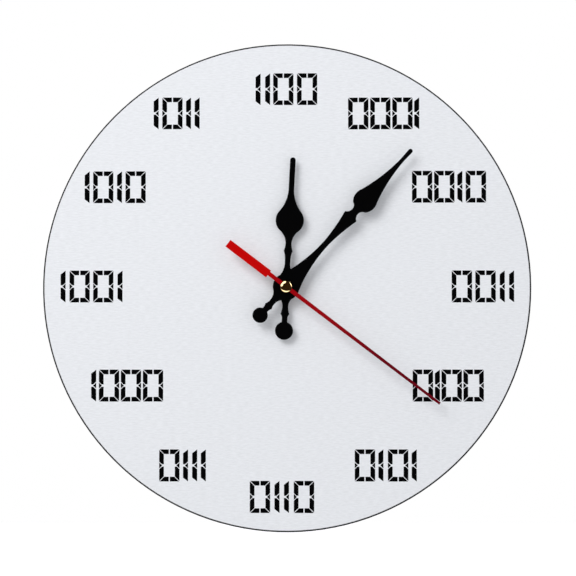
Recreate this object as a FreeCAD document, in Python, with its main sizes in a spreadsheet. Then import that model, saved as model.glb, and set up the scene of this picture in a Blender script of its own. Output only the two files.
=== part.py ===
"""Round wall clock with binary hour numbers: a 12 inch composite dial on a quartz movement.

Frame: millimetres, +Z up, the dial faces -Y, and the hands turn on the Y axis. The plane y = 0 is the
movement's rear face, which lies against the wall. "Height" below is the distance forward of the wall, so a
point at height 16 has y = -16. Angles of hands are clockwise from twelve, as seen from the front.
"""

import FreeCAD, Part
import math
import os
import re
import Sketcher

Vector = FreeCAD.Vector

# Driving dimensions, in millimetres and degrees. Each is a cell of the spreadsheet.
SIZES = {
    # dial sheet: two aluminium skins on a black plastic core
    "dial_diameter": 305.0,
    "skin_thickness": 0.3,
    "core_thickness": 2.4,
    "rim_bevel": 0.8,
    "dial_hole_play": 0.2,
    # movement case
    "case_width": 56.0,
    "case_depth": 16.0,
    "case_corner": 3.0,
    "case_edge": 0.5,
    "case_wall": 1.3,
    "case_front": 1.2,
    "partition_wall": 1.2,
    "corner_post": 2.4,
    # hanger
    "hanger_width": 26.0,
    "hanger_rise": 17.0,
    "hanger_thickness": 2.5,
    "hanger_corner": 6.0,
    "keyhole_radius": 4.0,
    "keyhole_slot": 4.0,
    "keyhole_rise": 6.0,
    "keyhole_above_case": 6.0,
    # back cover
    "cover_thickness": 1.2,
    "cover_play": 0.15,
    "cover_corner": 1.5,
    "clip_width": 4.4,
    "clip_thickness": 1.0,
    "clip_reach": 5.2,
    "clip_nib": 0.8,
    "clip_nib_height": 1.1,
    "clip_up": 21.2,
    "clip_window_play": 0.25,
    "tongue_width": 4.0,
    "tongue_reach": 0.8,
    "tongue_across": 12.0,
    "pivot_boss_radius": 1.5,
    "pivot_boss_height": 1.4,
    # fixing stack in front of the case
    "bush_radius": 4.0,
    "bush_flange_radius": 5.5,
    "bush_flange": 0.6,
    "bush_front": 23.5,
    "bush_chamfer": 0.4,
    "rubber_thickness": 1.0,
    "rubber_radius": 9.0,
    "brass_thickness": 0.5,
    "brass_radius": 6.4,
    "nut_across_flats": 11.0,
    "nut_thickness": 2.0,
    "thread_play": 0.03,
    # arbors and tubes on the main axis
    "second_arbor_radius": 0.5,
    "minute_tube_radius": 1.6,
    "hour_pipe_radius": 2.55,
    "running_play": 0.08,
    "seat_play": 0.01,
    # levels of the train, rear face of each wheel
    "wheel_thickness": 0.8,
    "rotor_level": 5.6,
    "second_level": 6.9,
    "third_level": 8.2,
    "bridge_level": 9.4,
    "bridge_thickness": 0.8,
    "centre_level": 10.7,
    "minute_level": 12.0,
    "hour_level": 13.1,
    # tooth counts and modules
    "rotor_teeth": 8,
    "intermediate_teeth": 48,
    "rotor_module": 0.25,
    "intermediate_leaves": 10,
    "second_teeth": 50,
    "second_module": 0.3,
    "second_leaves": 8,
    "third_teeth": 60,
    "third_leaves": 8,
    "centre_teeth": 64,
    "centre_module": 0.3,
    "cannon_leaves": 10,
    "minute_work_teeth": 30,
    "minute_work_leaves": 8,
    "hour_teeth": 32,
    "setting_leaves": 10,
    "motion_module": 0.5,
    # tooth form, as shares of the module
    "wheel_addendum": 0.8,
    "leaf_addendum": 0.7,
    "tooth_bottom_play": 0.3,
    "tooth_share": 0.4,
    "tip_share": 0.12,
    "tooth_sunk_share": 0.98,
    # where the arbors stand, as directions from the one before
    "intermediate_direction": 20.0,
    "rotor_direction": 16.0,
    "third_direction": 90.0,
    "minute_work_direction": 160.0,
    "setting_direction": 140.0,
    # arbors of the train
    "arbor_radius": 0.6,
    "pivot_radius": 0.4,
    "pivot_play": 0.05,
    "shoulder_gap": 0.2,
    "stud_radius": 0.75,
    "window_radius": 1.6,
    "window_share": 0.58,
    "window_count": 3,
    # stepping motor
    "magnet_radius": 3.0,
    "magnet_low": 3.4,
    "magnet_high": 5.2,
    "magnet_bore": 0.8,
    "stator_level": 4.2,
    "stator_thickness": 0.8,
    "stator_hole": 3.5,
    "stator_ring": 4.6,
    "stator_width": 5.2,
    "stator_arm": 2.2,
    "coil_across": 23.0,
    "coil_bottom": -6.0,
    "coil_top": 18.0,
    "coil_flange_radius": 3.2,
    "coil_flange": 1.0,
    "coil_winding_radius": 2.9,
    "coil_tube_radius": 1.6,
    "core_width": 2.0,
    "core_height": 1.0,
    "core_overhang": 3.2,
    # circuit board
    "board_left": -20.0,
    "board_right": 18.5,
    "board_bottom": -9.9,
    "board_top": -3.2,
    "board_level": 2.4,
    "board_thickness": 0.8,
    "board_peg_radius": 1.4,
    "board_pin_radius": 0.7,
    "board_peg_inset": 4.0,
    "chip_radius": 2.6,
    "chip_height": 0.8,
    "chip_edge": 0.5,
    "chip_across": -2.0,
    "crystal_radius": 1.0,
    "crystal_length": 6.0,
    "crystal_across": 4.0,
    # battery and its contacts
    "battery_radius": 7.25,
    "battery_can_length": 49.5,
    "battery_nub_radius": 2.75,
    "battery_nub_length": 1.0,
    "battery_edge": 0.6,
    "battery_play": 0.275,
    "battery_left": -25.0,
    "contact_thickness": 0.3,
    "contact_width": 6.0,
    "contact_half_height": 5.5,
    "contact_wall_gap": 0.1,
    "contact_battery_gap": 0.05,
    "riser_lap": 1.7,
    "tab_height": 2.0,
    "tab_overlap": 1.5,
    "dimple_radius": 1.65,
    # bridge
    "bridge_left": -13.5,
    "bridge_right": 21.0,
    "bridge_bottom": -9.0,
    "bridge_top": 20.0,
    "bridge_corner": 3.0,
    "bridge_post_radius": 1.6,
    "bridge_pin_radius": 0.8,
    "bridge_post_inset": 2.2,
    # setting knob
    "knob_radius": 7.0,
    "knob_thickness": 2.8,
    "knob_recess": 0.4,
    "knob_shaft_radius": 1.2,
    "knob_well_play": 0.6,
    "knob_well_wall": 1.0,
    "knob_well_depth": 3.8,
    "knob_well_floor": 0.8,
    # hands: heights of their rear faces, and bushes
    "hand_thickness": 0.5,
    "hour_hand_level": 24.4,
    "minute_hand_level": 26.9,
    "second_hand_level": 29.4,
    "second_hand_thickness": 0.4,
    "tube_stand_out": 0.4,
    "hour_bush_radius": 4.2,
    "hour_bush_height": 0.6,
    "minute_bush_radius": 3.4,
    "minute_bush_height": 0.8,
    "second_tube_radius": 1.2,
    "second_tube_length": 1.2,
    "cap_radius": 3.65,
    "cap_rim": 0.25,
    "cap_height": 1.9,
    "cap_socket": 0.6,
    # hour hand outline
    "hour_angle": 3.0,
    "hour_length": 80.9,
    "hour_hub_radius": 8.0,
    "hour_stem": 1.72,
    "hour_neck": 1.7,
    "hour_collar": 2.73,
    "hour_collar_distance": 22.4,
    "hour_bulb_radius": 8.77,
    "hour_bulb_distance": 41.4,
    "hour_ball_radius": 5.6,
    "hour_ball_distance": 27.3,
    "hour_tail_collar_distance": 16.9,
    # minute hand outline
    "minute_angle": 42.5,
    "minute_length": 115.8,
    "minute_hub_radius": 8.3,
    "minute_neck": 1.8,
    "minute_neck_distance": 37.2,
    "minute_corner": 4.8,
    "minute_corner_distance": 59.4,
    "minute_head_radius": 7.3,
    "minute_head_distance": 72.5,
    "minute_tip": 1.38,
    "minute_tip_start": 107.3,
    "minute_tail_neck": 1.85,
    "minute_tail_collar": 2.7,
    "minute_tail_collar_distance": 16.3,
    "minute_ball_radius": 4.76,
    "minute_ball_distance": 23.95,
    # second hand outline
    "second_angle": 127.3,
    "second_length": 119.6,
    "second_tip": 0.82,
    "second_arm": 1.3,
    "second_hub_radius": 2.6,
    "second_block": 2.6,
    "second_block_offset": 0.35,
    "second_block_start": 13.4,
    "second_block_end": 45.1,
}

# Sizes that follow from the driving ones: spreadsheet formulas.
DERIVED = {
    "dial_radius": "dial_diameter / 2",
    "dial_back": "case_depth + rubber_thickness",
    "dial_front": "dial_back + 2 * skin_thickness + core_thickness",
    "dial_hole": "bush_radius + dial_hole_play",
    "nut_back": "dial_front + brass_thickness",
    "case_half": "case_width / 2",
    "room_half": "case_half - case_wall",
    "room_front": "case_depth - case_front",
    "boss_root": "case_depth - case_front / 2",
    "trough_radius": "battery_radius + battery_play",
    "battery_up": "0 - room_half + trough_radius",
    "battery_height": "room_front - trough_radius",
    "partition_bottom": "battery_up + trough_radius",
    "room_bottom": "partition_bottom + partition_wall",
    "hanger_top": "case_half + hanger_rise",
    "keyhole_up": "case_half + keyhole_above_case",
    "bush_back": "room_front - bush_flange",
    "bush_bore": "hour_pipe_radius + running_play",
    "hour_pipe_bore": "minute_tube_radius + running_play",
    "minute_tube_bore": "second_arbor_radius + running_play",
    "pivot_hole": "pivot_radius + pivot_play",
    "boss_top": "cover_thickness + pivot_boss_height",
    "rotor_distance": "rotor_module * (rotor_teeth + intermediate_teeth) / 2",
    "second_distance": "second_module * (second_teeth + intermediate_leaves) / 2",
    "centre_distance": "centre_module * (centre_teeth + third_leaves) / 2",
    "third_module": "2 * centre_distance / (third_teeth + second_leaves)",
    "motion_distance": "motion_module * (minute_work_teeth + cannon_leaves) / 2",
    "intermediate_across": "second_distance * cos(intermediate_direction)",
    "intermediate_up": "second_distance * sin(intermediate_direction)",
    "rotor_across": "intermediate_across + rotor_distance * cos(rotor_direction)",
    "rotor_up": "intermediate_up + rotor_distance * sin(rotor_direction)",
    "third_across": "centre_distance * cos(third_direction)",
    "third_up": "centre_distance * sin(third_direction)",
    "minute_work_across": "motion_distance * cos(minute_work_direction)",
    "minute_work_up": "motion_distance * sin(minute_work_direction)",
    "setting_across": "minute_work_across + motion_distance * cos(setting_direction)",
    "setting_up": "minute_work_up + motion_distance * sin(setting_direction)",
    "bridge_front": "bridge_level + bridge_thickness",
    "board_front": "board_level + board_thickness",
    "board_middle": "(board_bottom + board_top) / 2",
    "core_level": "stator_level + stator_thickness",
    "coil_height": "core_level + core_height / 2",
    "core_bottom": "coil_bottom - core_overhang",
    "core_top": "coil_top + core_overhang",
    "knob_front": "knob_recess + knob_thickness",
    "knob_well_radius": "knob_radius + knob_well_play",
    "contact_plate": "room_half - contact_wall_gap - contact_thickness",
    "riser_end": "battery_height - contact_width / 2 + riser_lap",
    "battery_right": "battery_left + battery_can_length",
    "battery_end": "battery_right + battery_nub_length",
    "hour_hand_front": "hour_hand_level + hand_thickness",
    "minute_hand_front": "minute_hand_level + hand_thickness",
    "second_hand_front": "second_hand_level + second_hand_thickness",
    "second_arbor_front": "second_hand_front + cap_socket - running_play",
}

FULL_CIRCLE = 2 * math.pi

doc = FreeCAD.newDocument("BinaryClock")
sheet = doc.addObject("Spreadsheet::Sheet", "Sizes")


# ---------------------------------------------------------------- the sheet


def fill_sheet():
    """Writes the driving sizes as plain numbers and the derived ones as formulas."""
    for row, (name, number) in enumerate(SIZES.items(), start=1):
        sheet.set(f"A{row}", name)
        sheet.set(f"B{row}", str(number))
        sheet.setAlias(f"B{row}", name)
    for row, (name, formula) in enumerate(DERIVED.items(), start=1):
        sheet.set(f"C{row}", name)
        sheet.set(f"D{row}", "=" + formula)
        sheet.setAlias(f"D{row}", name)
    doc.recompute()


def size(name):
    """The value of one size, read from the sheet."""
    return float(sheet.get(name))


def from_sheet(formula):
    """The formula with the sheet's name before each of its sizes."""

    def with_sheet(word):
        name = word.group()
        return f"Sizes.{name}" if name in SIZES or name in DERIVED else name

    return re.sub(r"[a-z][a-z0-9_]*", with_sheet, formula)


def tie(target, path, formula):
    """Binds a property to a formula of the sheet's sizes."""
    target.setExpression(path, from_sheet(formula))


# ---------------------------------------------------------------- bodies, sketches and features


def new_body(label):
    body = doc.addObject("PartDesign::Body", label)
    body.Label = label
    return body


def origin_feature(body, role):
    return next(feature for feature in body.Origin.OriginFeatures if feature.Role == role)


def new_sketch(body, name, height, plane="XZ_Plane"):
    """A sketch on one of the body's own planes. On XZ it is seen from the front and lies at a height."""
    sketch = body.newObject("Sketcher::SketchObject", name)
    sketch.AttachmentSupport = [(origin_feature(body, plane), "")]
    sketch.MapMode = "FlatFace"
    tie(sketch, "AttachmentOffset.Base.z", height)
    return sketch


def constrain(sketch, kind, *arguments, formula):
    """Adds a dimension and ties it to a formula."""
    index = sketch.addConstraint(Sketcher.Constraint(kind, *arguments, 1.0))
    tie(sketch, f"Constraints[{index}]", formula)


def add_circle(sketch, radius, across="0", up="0"):
    circle = sketch.addGeometry(Part.Circle(Vector(0, 0, 0), Vector(0, 0, 1), 1))
    constrain(sketch, "Radius", circle, formula=radius)
    constrain(sketch, "DistanceX", -1, 1, circle, 3, formula=across)
    constrain(sketch, "DistanceY", -1, 1, circle, 3, formula=up)


def add_rectangle(sketch, left, right, bottom, top):
    corners = [Vector(0, 0, 0), Vector(1, 0, 0), Vector(1, 1, 0), Vector(0, 1, 0)]
    ends = corners[1:] + corners[:1]
    sides = [sketch.addGeometry(Part.LineSegment(a, b)) for a, b in zip(corners, ends)]
    for side, following in zip(sides, sides[1:] + sides[:1]):
        sketch.addConstraint(Sketcher.Constraint("Coincident", side, 2, following, 1))
    for side, kind in zip(sides, ("Horizontal", "Vertical", "Horizontal", "Vertical")):
        sketch.addConstraint(Sketcher.Constraint(kind, side))
    constrain(sketch, "DistanceX", -1, 1, sides[0], 1, formula=left)
    constrain(sketch, "DistanceX", -1, 1, sides[0], 2, formula=right)
    constrain(sketch, "DistanceY", -1, 1, sides[0], 1, formula=bottom)
    constrain(sketch, "DistanceY", -1, 1, sides[2], 1, formula=top)


def polar(radius, turn):
    return (radius * math.cos(turn), radius * math.sin(turn))


def add_polygon(sketch, points):
    """Straight lines through the points and back to the first."""
    corners = [Vector(x, y, 0) for x, y in points]
    for start, end in zip(corners, corners[1:] + corners[:1]):
        sketch.addGeometry(Part.LineSegment(start, end))


def add_mirrored_outline(sketch, start, moves):
    """A closed outline that is symmetric about the sketch's vertical axis.

    The right half runs from start to the last point, both on the axis. A move is (end) for a line or
    (middle, end) for an arc.
    """
    here = Vector(*start, 0)
    for move in moves:
        points = [Vector(x, y, 0) for x, y in move]
        for side in (1, -1):
            path = [Vector(side * point.x, point.y, 0) for point in [here] + points]
            edge = Part.Arc(*path) if len(path) == 3 else Part.LineSegment(*path)
            sketch.addGeometry(edge)
        here = points[-1]


def pad(body, sketch, length):
    """Material from the sketch towards the front."""
    feature = body.newObject("PartDesign::Pad", sketch.Name + "Pad")
    feature.Profile = sketch
    tie(feature, "Length", length)
    return feature


def pocket(body, sketch, length):
    """A cut from the sketch towards the rear."""
    feature = body.newObject("PartDesign::Pocket", sketch.Name + "Pocket")
    feature.Profile = sketch
    tie(feature, "Length", length)
    return feature


def between(low, high):
    return f"({high}) - ({low})"


def add_disc(body, name, radius, low, high, across="0", up="0"):
    sketch = new_sketch(body, name, low)
    add_circle(sketch, radius, across, up)
    return pad(body, sketch, between(low, high))


def cut_hole(body, name, radius, low, high, across="0", up="0"):
    sketch = new_sketch(body, name, high)
    add_circle(sketch, radius, across, up)
    return pocket(body, sketch, between(low, high))


def add_block(body, name, left, right, bottom, top, low, high):
    sketch = new_sketch(body, name, low)
    add_rectangle(sketch, left, right, bottom, top)
    return pad(body, sketch, between(low, high))


def cut_block(body, name, left, right, bottom, top, low, high):
    sketch = new_sketch(body, name, high)
    add_rectangle(sketch, left, right, bottom, top)
    return pocket(body, sketch, between(low, high))


def add_ring(body, name, outer, inner, low, high):
    sketch = new_sketch(body, name, low)
    add_circle(sketch, outer)
    add_circle(sketch, inner)
    return pad(body, sketch, between(low, high))


def spread_around(body, name, feature, count):
    """Repeats a feature around the main axis."""
    pattern = body.newObject("PartDesign::PolarPattern", name)
    pattern.Originals = [feature]
    pattern.Axis = (origin_feature(body, "Y_Axis"), [""])
    pattern.Angle = 360
    tie(pattern, "Occurrences", count)
    body.Tip = pattern


def dress_edges(body, kind, base, radius, wanted):
    """A Fillet or Chamfer on the edges of base for which wanted(edge) is true."""
    doc.recompute()
    names = [f"Edge{n}" for n, edge in enumerate(base.Shape.Edges, start=1) if wanted(edge)]
    feature = body.newObject(f"PartDesign::{kind}", base.Name + kind)
    feature.Base = (base, names)
    tie(feature, "Radius" if kind == "Fillet" else "Size", radius)
    return feature


def runs_front_to_back(edge):
    start, end = edge.firstVertex().Point, edge.lastVertex().Point
    return abs(start.y - end.y) > 1e-6 and math.hypot(start.x - end.x, start.z - end.z) < 1e-6


def lies_at_height(edge, height):
    box = edge.BoundBox
    return abs(box.YMin + height) < 1e-6 and abs(box.YMax + height) < 1e-6


def place_on_arbor(body, across, up, phase=0.0):
    """Moves a wheel built on the main axis to its arbor, turned anticlockwise by phase, in degrees."""
    body.Placement.Rotation = FreeCAD.Rotation(Vector(0, -1, 0), phase)
    tie(body, "Placement.Base.x", across)
    tie(body, "Placement.Base.z", up)


# ---------------------------------------------------------------- gears


def add_gear(body, name, teeth, module, addendum, mate_addendum, low, high):
    """A toothed disc with its first tooth at the right. Between the teeth the root is flat."""
    count = int(size(teeth))
    unit = size(module)
    step = FULL_CIRCLE / count
    pitch_radius = count * unit / 2
    root_radius = pitch_radius - (size(mate_addendum) + size("tooth_bottom_play")) * unit
    tip_radius = pitch_radius + size(addendum) * unit
    half_tooth = size("tooth_share") * step / 2
    half_tip = size("tip_share") * step / 2
    sunk_radius = root_radius * math.cos(step / 2) * size("tooth_sunk_share")
    blank = new_sketch(body, name + "Blank", low)
    add_polygon(blank, [polar(root_radius, step * place) for place in range(count)])
    pad(body, blank, between(low, high))
    flank = [(sunk_radius, half_tooth), (pitch_radius, half_tooth), (tip_radius, half_tip)]
    tooth_sketch = new_sketch(body, name + "Tooth", low)
    lower = [polar(radius, -turn) for radius, turn in flank]
    upper = [polar(radius, turn) for radius, turn in reversed(flank)]
    add_polygon(tooth_sketch, lower + upper)
    tooth = pad(body, tooth_sketch, between(low, high))
    spread_around(body, name + "Teeth", tooth, teeth)


def add_wheel(body, name, teeth, module, low):
    high = f"{low} + wheel_thickness"
    add_gear(body, name, teeth, module, "wheel_addendum", "leaf_addendum", low, high)


def add_pinion(body, name, leaves, module, low, high):
    add_gear(body, name, leaves, module, "leaf_addendum", "wheel_addendum", low, high)


def cut_windows(body, name, pitch_radius, low):
    """Three round windows through a wheel's web."""
    high = f"{low} + wheel_thickness"
    window = cut_hole(body, name + "Window", "window_radius", low, high, f"window_share * {pitch_radius}")
    spread_around(body, name + "Windows", window, "window_count")


def mating_phase(phase, teeth, mate_teeth, direction):
    """The turn that puts a mate's teeth into a wheel's gaps, all angles in degrees anticlockwise.

    direction is the way from the wheel's arbor to the mate's.
    """
    wheel_turn = (direction - phase) * size(teeth) / 360
    mate_turn = 0.5 - wheel_turn
    return direction + 180 - mate_turn * 360 / size(mate_teeth)


# ---------------------------------------------------------------- dial


def make_dial():
    core_back = "dial_back + skin_thickness"
    core_front = "dial_front - skin_thickness"

    rear_skin = new_body("dial_rear_skin")
    add_ring(rear_skin, "RearSkin", "dial_radius", "dial_hole", "dial_back", core_back)

    core = new_body("dial_core")
    plate = add_ring(core, "Core", "dial_radius", "dial_hole", core_back, core_front)
    front = size("dial_front") - size("skin_thickness")
    rim = size("dial_radius")
    dress_edges(
        core, "Chamfer", plate, "rim_bevel",
        lambda edge: lies_at_height(edge, front) and edge.BoundBox.XMax > rim - 1,
    )

    face_skin = new_body("dial_face_skin")
    add_ring(face_skin, "FaceSkin", "dial_radius - rim_bevel", "dial_hole", core_front, "dial_front")


# ---------------------------------------------------------------- movement case


def make_case():
    body = new_body("movement_case")
    block = add_block(
        body, "Block", "0 - case_half", "case_half", "0 - case_half", "case_half", "0", "case_depth"
    )
    rounded = dress_edges(body, "Fillet", block, "case_corner", runs_front_to_back)
    depth = size("case_depth")
    dress_edges(body, "Chamfer", rounded, "case_edge", lambda edge: lies_at_height(edge, depth))
    cut_block(
        body, "GearRoom", "0 - room_half", "room_half", "room_bottom", "room_half", "0", "room_front"
    )
    cut_battery_trough(body)
    cut_hole(body, "BushHole", "bush_radius", "0", "case_depth")
    add_corner_posts(body)
    add_train_supports(body)
    add_hanger(body)
    cut_contact_notches(body)
    cut_cover_catches(body)


def cut_battery_trough(body):
    """A trough open to the rear, with a round bottom that follows the battery."""
    round_part = new_sketch(body, "TroughRound", "room_half", "YZ_Plane")
    add_circle(round_part, "trough_radius", "0 - battery_height", "battery_up")
    pocket(body, round_part, "2 * room_half")
    cut_block(
        body, "TroughMouth", "0 - room_half", "room_half", "battery_up - trough_radius",
        "battery_up + trough_radius", "0", "battery_height",
    )


def add_corner_posts(body):
    """Posts, moulded into the upper corners of the gear room, that the back cover rests on."""
    sketch = new_sketch(body, "CornerPosts", "cover_thickness")
    inner = "room_half - corner_post"
    outer = "room_half + case_wall / 2"
    for left, right in ((f"0 - ({outer})", f"0 - ({inner})"), (inner, outer)):
        add_rectangle(sketch, left, right, inner, outer)
    pad(body, sketch, between("cover_thickness", "boss_root"))


def bridge_post_places():
    left = "bridge_left + bridge_post_inset"
    right = "bridge_right - bridge_post_inset"
    bottom = "bridge_bottom + bridge_post_inset"
    top = "bridge_top - bridge_post_inset"
    return [(left, bottom), (right, bottom), (left, top), (right, top)]


def add_train_supports(body):
    """Posts for the bridge, the stud of the minute work and the front bearings."""
    posts = new_sketch(body, "BridgePosts", "bridge_front")
    pins = new_sketch(body, "BridgePins", "bridge_level")
    for across, up in bridge_post_places():
        add_circle(posts, "bridge_post_radius", across, up)
        add_circle(pins, "bridge_pin_radius", across, up)
    pad(body, posts, between("bridge_front", "boss_root"))
    pad(body, pins, between("bridge_level", "boss_root"))
    add_disc(
        body, "Stud", "stud_radius", "minute_level - shoulder_gap", "boss_root",
        "minute_work_across", "minute_work_up",
    )
    third_end = "centre_level + wheel_thickness + shoulder_gap"
    add_disc(body, "ThirdBoss", "pivot_boss_radius", third_end, "boss_root", "third_across", "third_up")
    cut_hole(
        body, "ThirdBearing", "pivot_hole", third_end, "room_front - shoulder_gap", "third_across",
        "third_up",
    )
    setting_end = "hour_level + shoulder_gap"
    add_disc(
        body, "SettingBoss", "pivot_boss_radius", setting_end, "boss_root", "setting_across", "setting_up"
    )
    cut_hole(
        body, "SettingBearing", "stud_radius + pivot_play", setting_end, "room_front - shoulder_gap",
        "setting_across", "setting_up",
    )


def add_hanger(body):
    """A tab above the case, flush with the wall, with a keyhole for a screw head."""
    tab = add_block(
        body, "Hanger", "0 - hanger_width / 2", "hanger_width / 2", "room_half", "hanger_top", "0",
        "hanger_thickness",
    )
    top = size("hanger_top")
    dress_edges(
        body, "Fillet", tab, "hanger_corner",
        lambda edge: runs_front_to_back(edge) and abs(edge.firstVertex().Point.z - top) < 1e-6,
    )
    cut_hole(body, "Keyhole", "keyhole_radius", "0", "hanger_thickness", "0", "keyhole_up")
    cut_block(
        body, "KeyholeSlot", "0 - keyhole_slot / 2", "keyhole_slot / 2", "keyhole_up",
        "keyhole_up + keyhole_rise", "0", "hanger_thickness",
    )
    cut_hole(
        body, "KeyholeEnd", "keyhole_slot / 2", "0", "hanger_thickness", "0", "keyhole_up + keyhole_rise"
    )


def cut_contact_notches(body):
    """Gaps in the partition through which the battery contacts rise to the circuit board."""
    for name, left, right in (
        ("Left", "0 - room_half", "0 - contact_plate + contact_wall_gap"),
        ("Right", "contact_plate - contact_wall_gap", "room_half"),
    ):
        cut_block(
            body, "Notch" + name, left, right, "partition_bottom - contact_thickness",
            "room_bottom + contact_thickness", "0", "riser_end + contact_wall_gap",
        )


def cut_cover_catches(body):
    """Windows for the cover's clips and slots for its tongues."""
    low = "clip_reach - clip_nib_height - clip_window_play"
    high = "clip_reach + clip_window_play"
    bottom = "clip_up - clip_width / 2 - clip_window_play"
    top = "clip_up + clip_width / 2 + clip_window_play"
    cut_block(body, "CatchLeft", "0 - case_half", "0 - room_half", bottom, top, low, high)
    cut_block(body, "CatchRight", "room_half", "case_half", bottom, top, low, high)
    for name, middle in (("Left", "0 - tongue_across"), ("Right", "tongue_across")):
        cut_block(
            body, "Slot" + name,
            f"{middle} - tongue_width / 2 - cover_play", f"{middle} + tongue_width / 2 + cover_play",
            "room_bottom - tongue_reach", "room_bottom", "0", "cover_thickness + cover_play",
        )


# ---------------------------------------------------------------- back cover


def make_back_cover():
    body = new_body("back_cover")
    edge = "room_half - cover_play"
    bottom = "room_bottom + cover_play"
    plate = add_block(body, "Plate", f"0 - ({edge})", edge, bottom, edge, "0", "cover_thickness")
    dress_edges(body, "Fillet", plate, "cover_corner", runs_front_to_back)
    for name, middle in (("Left", "0 - tongue_across"), ("Right", "tongue_across")):
        add_block(
            body, "Tongue" + name, f"{middle} - tongue_width / 2", f"{middle} + tongue_width / 2",
            "room_bottom - tongue_reach + cover_play", "room_bottom + tongue_reach", "0",
            "cover_thickness",
        )
    add_knob_well(body)
    add_cover_posts(body)
    add_cover_clips(body, edge)


def add_knob_well(body):
    """The recess that the setting knob turns in, with a hole for its shaft."""
    add_disc(
        body, "Well", "knob_well_radius + knob_well_wall", "0", "knob_well_depth + knob_well_floor",
        "setting_across", "setting_up",
    )
    cut_hole(body, "WellInside", "knob_well_radius", "0", "knob_well_depth", "setting_across", "setting_up")
    cut_hole(
        body, "WellShaftHole", "knob_shaft_radius + running_play", "0",
        "knob_well_depth + knob_well_floor", "setting_across", "setting_up",
    )


def board_peg_places():
    ends = ("board_left + board_peg_inset", "board_right - board_peg_inset")
    return [(across, "board_middle") for across in ends]


def stator_peg_places():
    """The upper peg, then the lower one, which passes through the circuit board."""
    heights = ("core_top - stator_arm / 2", "core_bottom + stator_arm / 2")
    return [("rotor_across", up) for up in heights]


def add_cover_posts(body):
    """Bearing bosses of the train, and pegs that carry the circuit board and the stator."""
    arbors = [
        ("Second", "0", "0", "second_arbor_radius + running_play"),
        ("Third", "third_across", "third_up", "pivot_hole"),
        ("Intermediate", "intermediate_across", "intermediate_up", "pivot_hole"),
        ("Rotor", "rotor_across", "rotor_up", "pivot_hole"),
    ]
    bosses = new_sketch(body, "Bosses", "cover_thickness / 2")
    for _, across, up, _ in arbors:
        add_circle(bosses, "pivot_boss_radius", across, up)
    pad(body, bosses, between("cover_thickness / 2", "boss_top"))
    for name, across, up, radius in arbors:
        cut_hole(body, name + "Bearing", radius, "cover_thickness / 2", "boss_top", across, up)

    pegs = new_sketch(body, "Pegs", "cover_thickness / 2")
    pins = new_sketch(body, "Pins", "cover_thickness / 2")
    for across, up in board_peg_places():
        add_circle(pegs, "board_peg_radius", across, up)
        add_circle(pins, "board_pin_radius", across, up)
    pad(body, pegs, between("cover_thickness / 2", "board_level"))
    pad(body, pins, between("cover_thickness / 2", "board_front"))

    stator_pegs = new_sketch(body, "StatorPegs", "cover_thickness / 2")
    stator_pins = new_sketch(body, "StatorPins", "cover_thickness / 2")
    for across, up in stator_peg_places():
        add_circle(stator_pegs, "board_peg_radius", across, up)
        add_circle(stator_pins, "board_pin_radius", across, up)
    pad(body, stator_pegs, between("cover_thickness / 2", "stator_level"))
    pad(body, stator_pins, between("cover_thickness / 2", "core_level"))


def add_cover_clips(body, edge):
    """Two sprung clips with nibs that snap into the case's windows."""
    bottom = "clip_up - clip_width / 2"
    top = "clip_up + clip_width / 2"
    inner = f"{edge} - clip_thickness"
    nib = f"{edge} + clip_nib"
    nib_low = "clip_reach - clip_nib_height"
    for name, near, far, tip in (
        ("Left", f"0 - ({inner})", f"0 - ({edge})", f"0 - ({nib})"),
        ("Right", inner, edge, nib),
    ):
        left, right = (far, near) if name == "Left" else (near, far)
        add_block(body, "Clip" + name, left, right, bottom, top, "cover_thickness / 2", "clip_reach")
        left, right = (tip, near) if name == "Left" else (near, tip)
        add_block(body, "Nib" + name, left, right, bottom, top, nib_low, "clip_reach")


# ---------------------------------------------------------------- fixing stack


def make_fixings():
    bush = new_body("threaded_bush")
    add_disc(bush, "Flange", "bush_flange_radius", "bush_back", "room_front")
    shank = add_disc(bush, "Shank", "bush_radius - seat_play", "bush_back", "bush_front")
    front = size("bush_front")
    dress_edges(bush, "Chamfer", shank, "bush_chamfer", lambda edge: lies_at_height(edge, front))
    cut_hole(bush, "Bore", "bush_bore", "bush_back", "bush_front")

    rubber = new_body("rubber_washer")
    add_ring(rubber, "Rubber", "rubber_radius", "dial_hole", "case_depth", "dial_back")

    washer = new_body("brass_washer")
    add_ring(washer, "Brass", "brass_radius", "dial_hole", "dial_front", "nut_back")

    nut = new_body("hex_nut")
    hexagon = new_sketch(nut, "Hexagon", "nut_back")
    corner = size("nut_across_flats") / math.sqrt(3)
    add_polygon(hexagon, [polar(corner, FULL_CIRCLE * side / 6) for side in range(6)])
    pad(nut, hexagon, "nut_thickness")
    cut_hole(nut, "Thread", "bush_radius + thread_play", "nut_back", "nut_back + nut_thickness")


# ---------------------------------------------------------------- train


def make_bridge():
    """The plate that carries the front pivots of the rotor and the intermediate wheel."""
    body = new_body("gear_bridge")
    plate = add_block(
        body, "Bridge", "bridge_left", "bridge_right", "bridge_bottom", "bridge_top", "bridge_level",
        "bridge_front",
    )
    dress_edges(body, "Fillet", plate, "bridge_corner", runs_front_to_back)
    holes = new_sketch(body, "BridgeHoles", "bridge_front")
    add_circle(holes, "second_leaves * third_module / 2 + pivot_play")
    third_hole = "centre_module * (third_leaves / 2 + leaf_addendum) + shoulder_gap"
    add_circle(holes, third_hole, "third_across", "third_up")
    add_circle(holes, "pivot_hole", "intermediate_across", "intermediate_up")
    add_circle(holes, "pivot_hole", "rotor_across", "rotor_up")
    for across, up in bridge_post_places():
        add_circle(holes, "bridge_pin_radius + seat_play", across, up)
    pocket(body, holes, "bridge_thickness")


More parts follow.
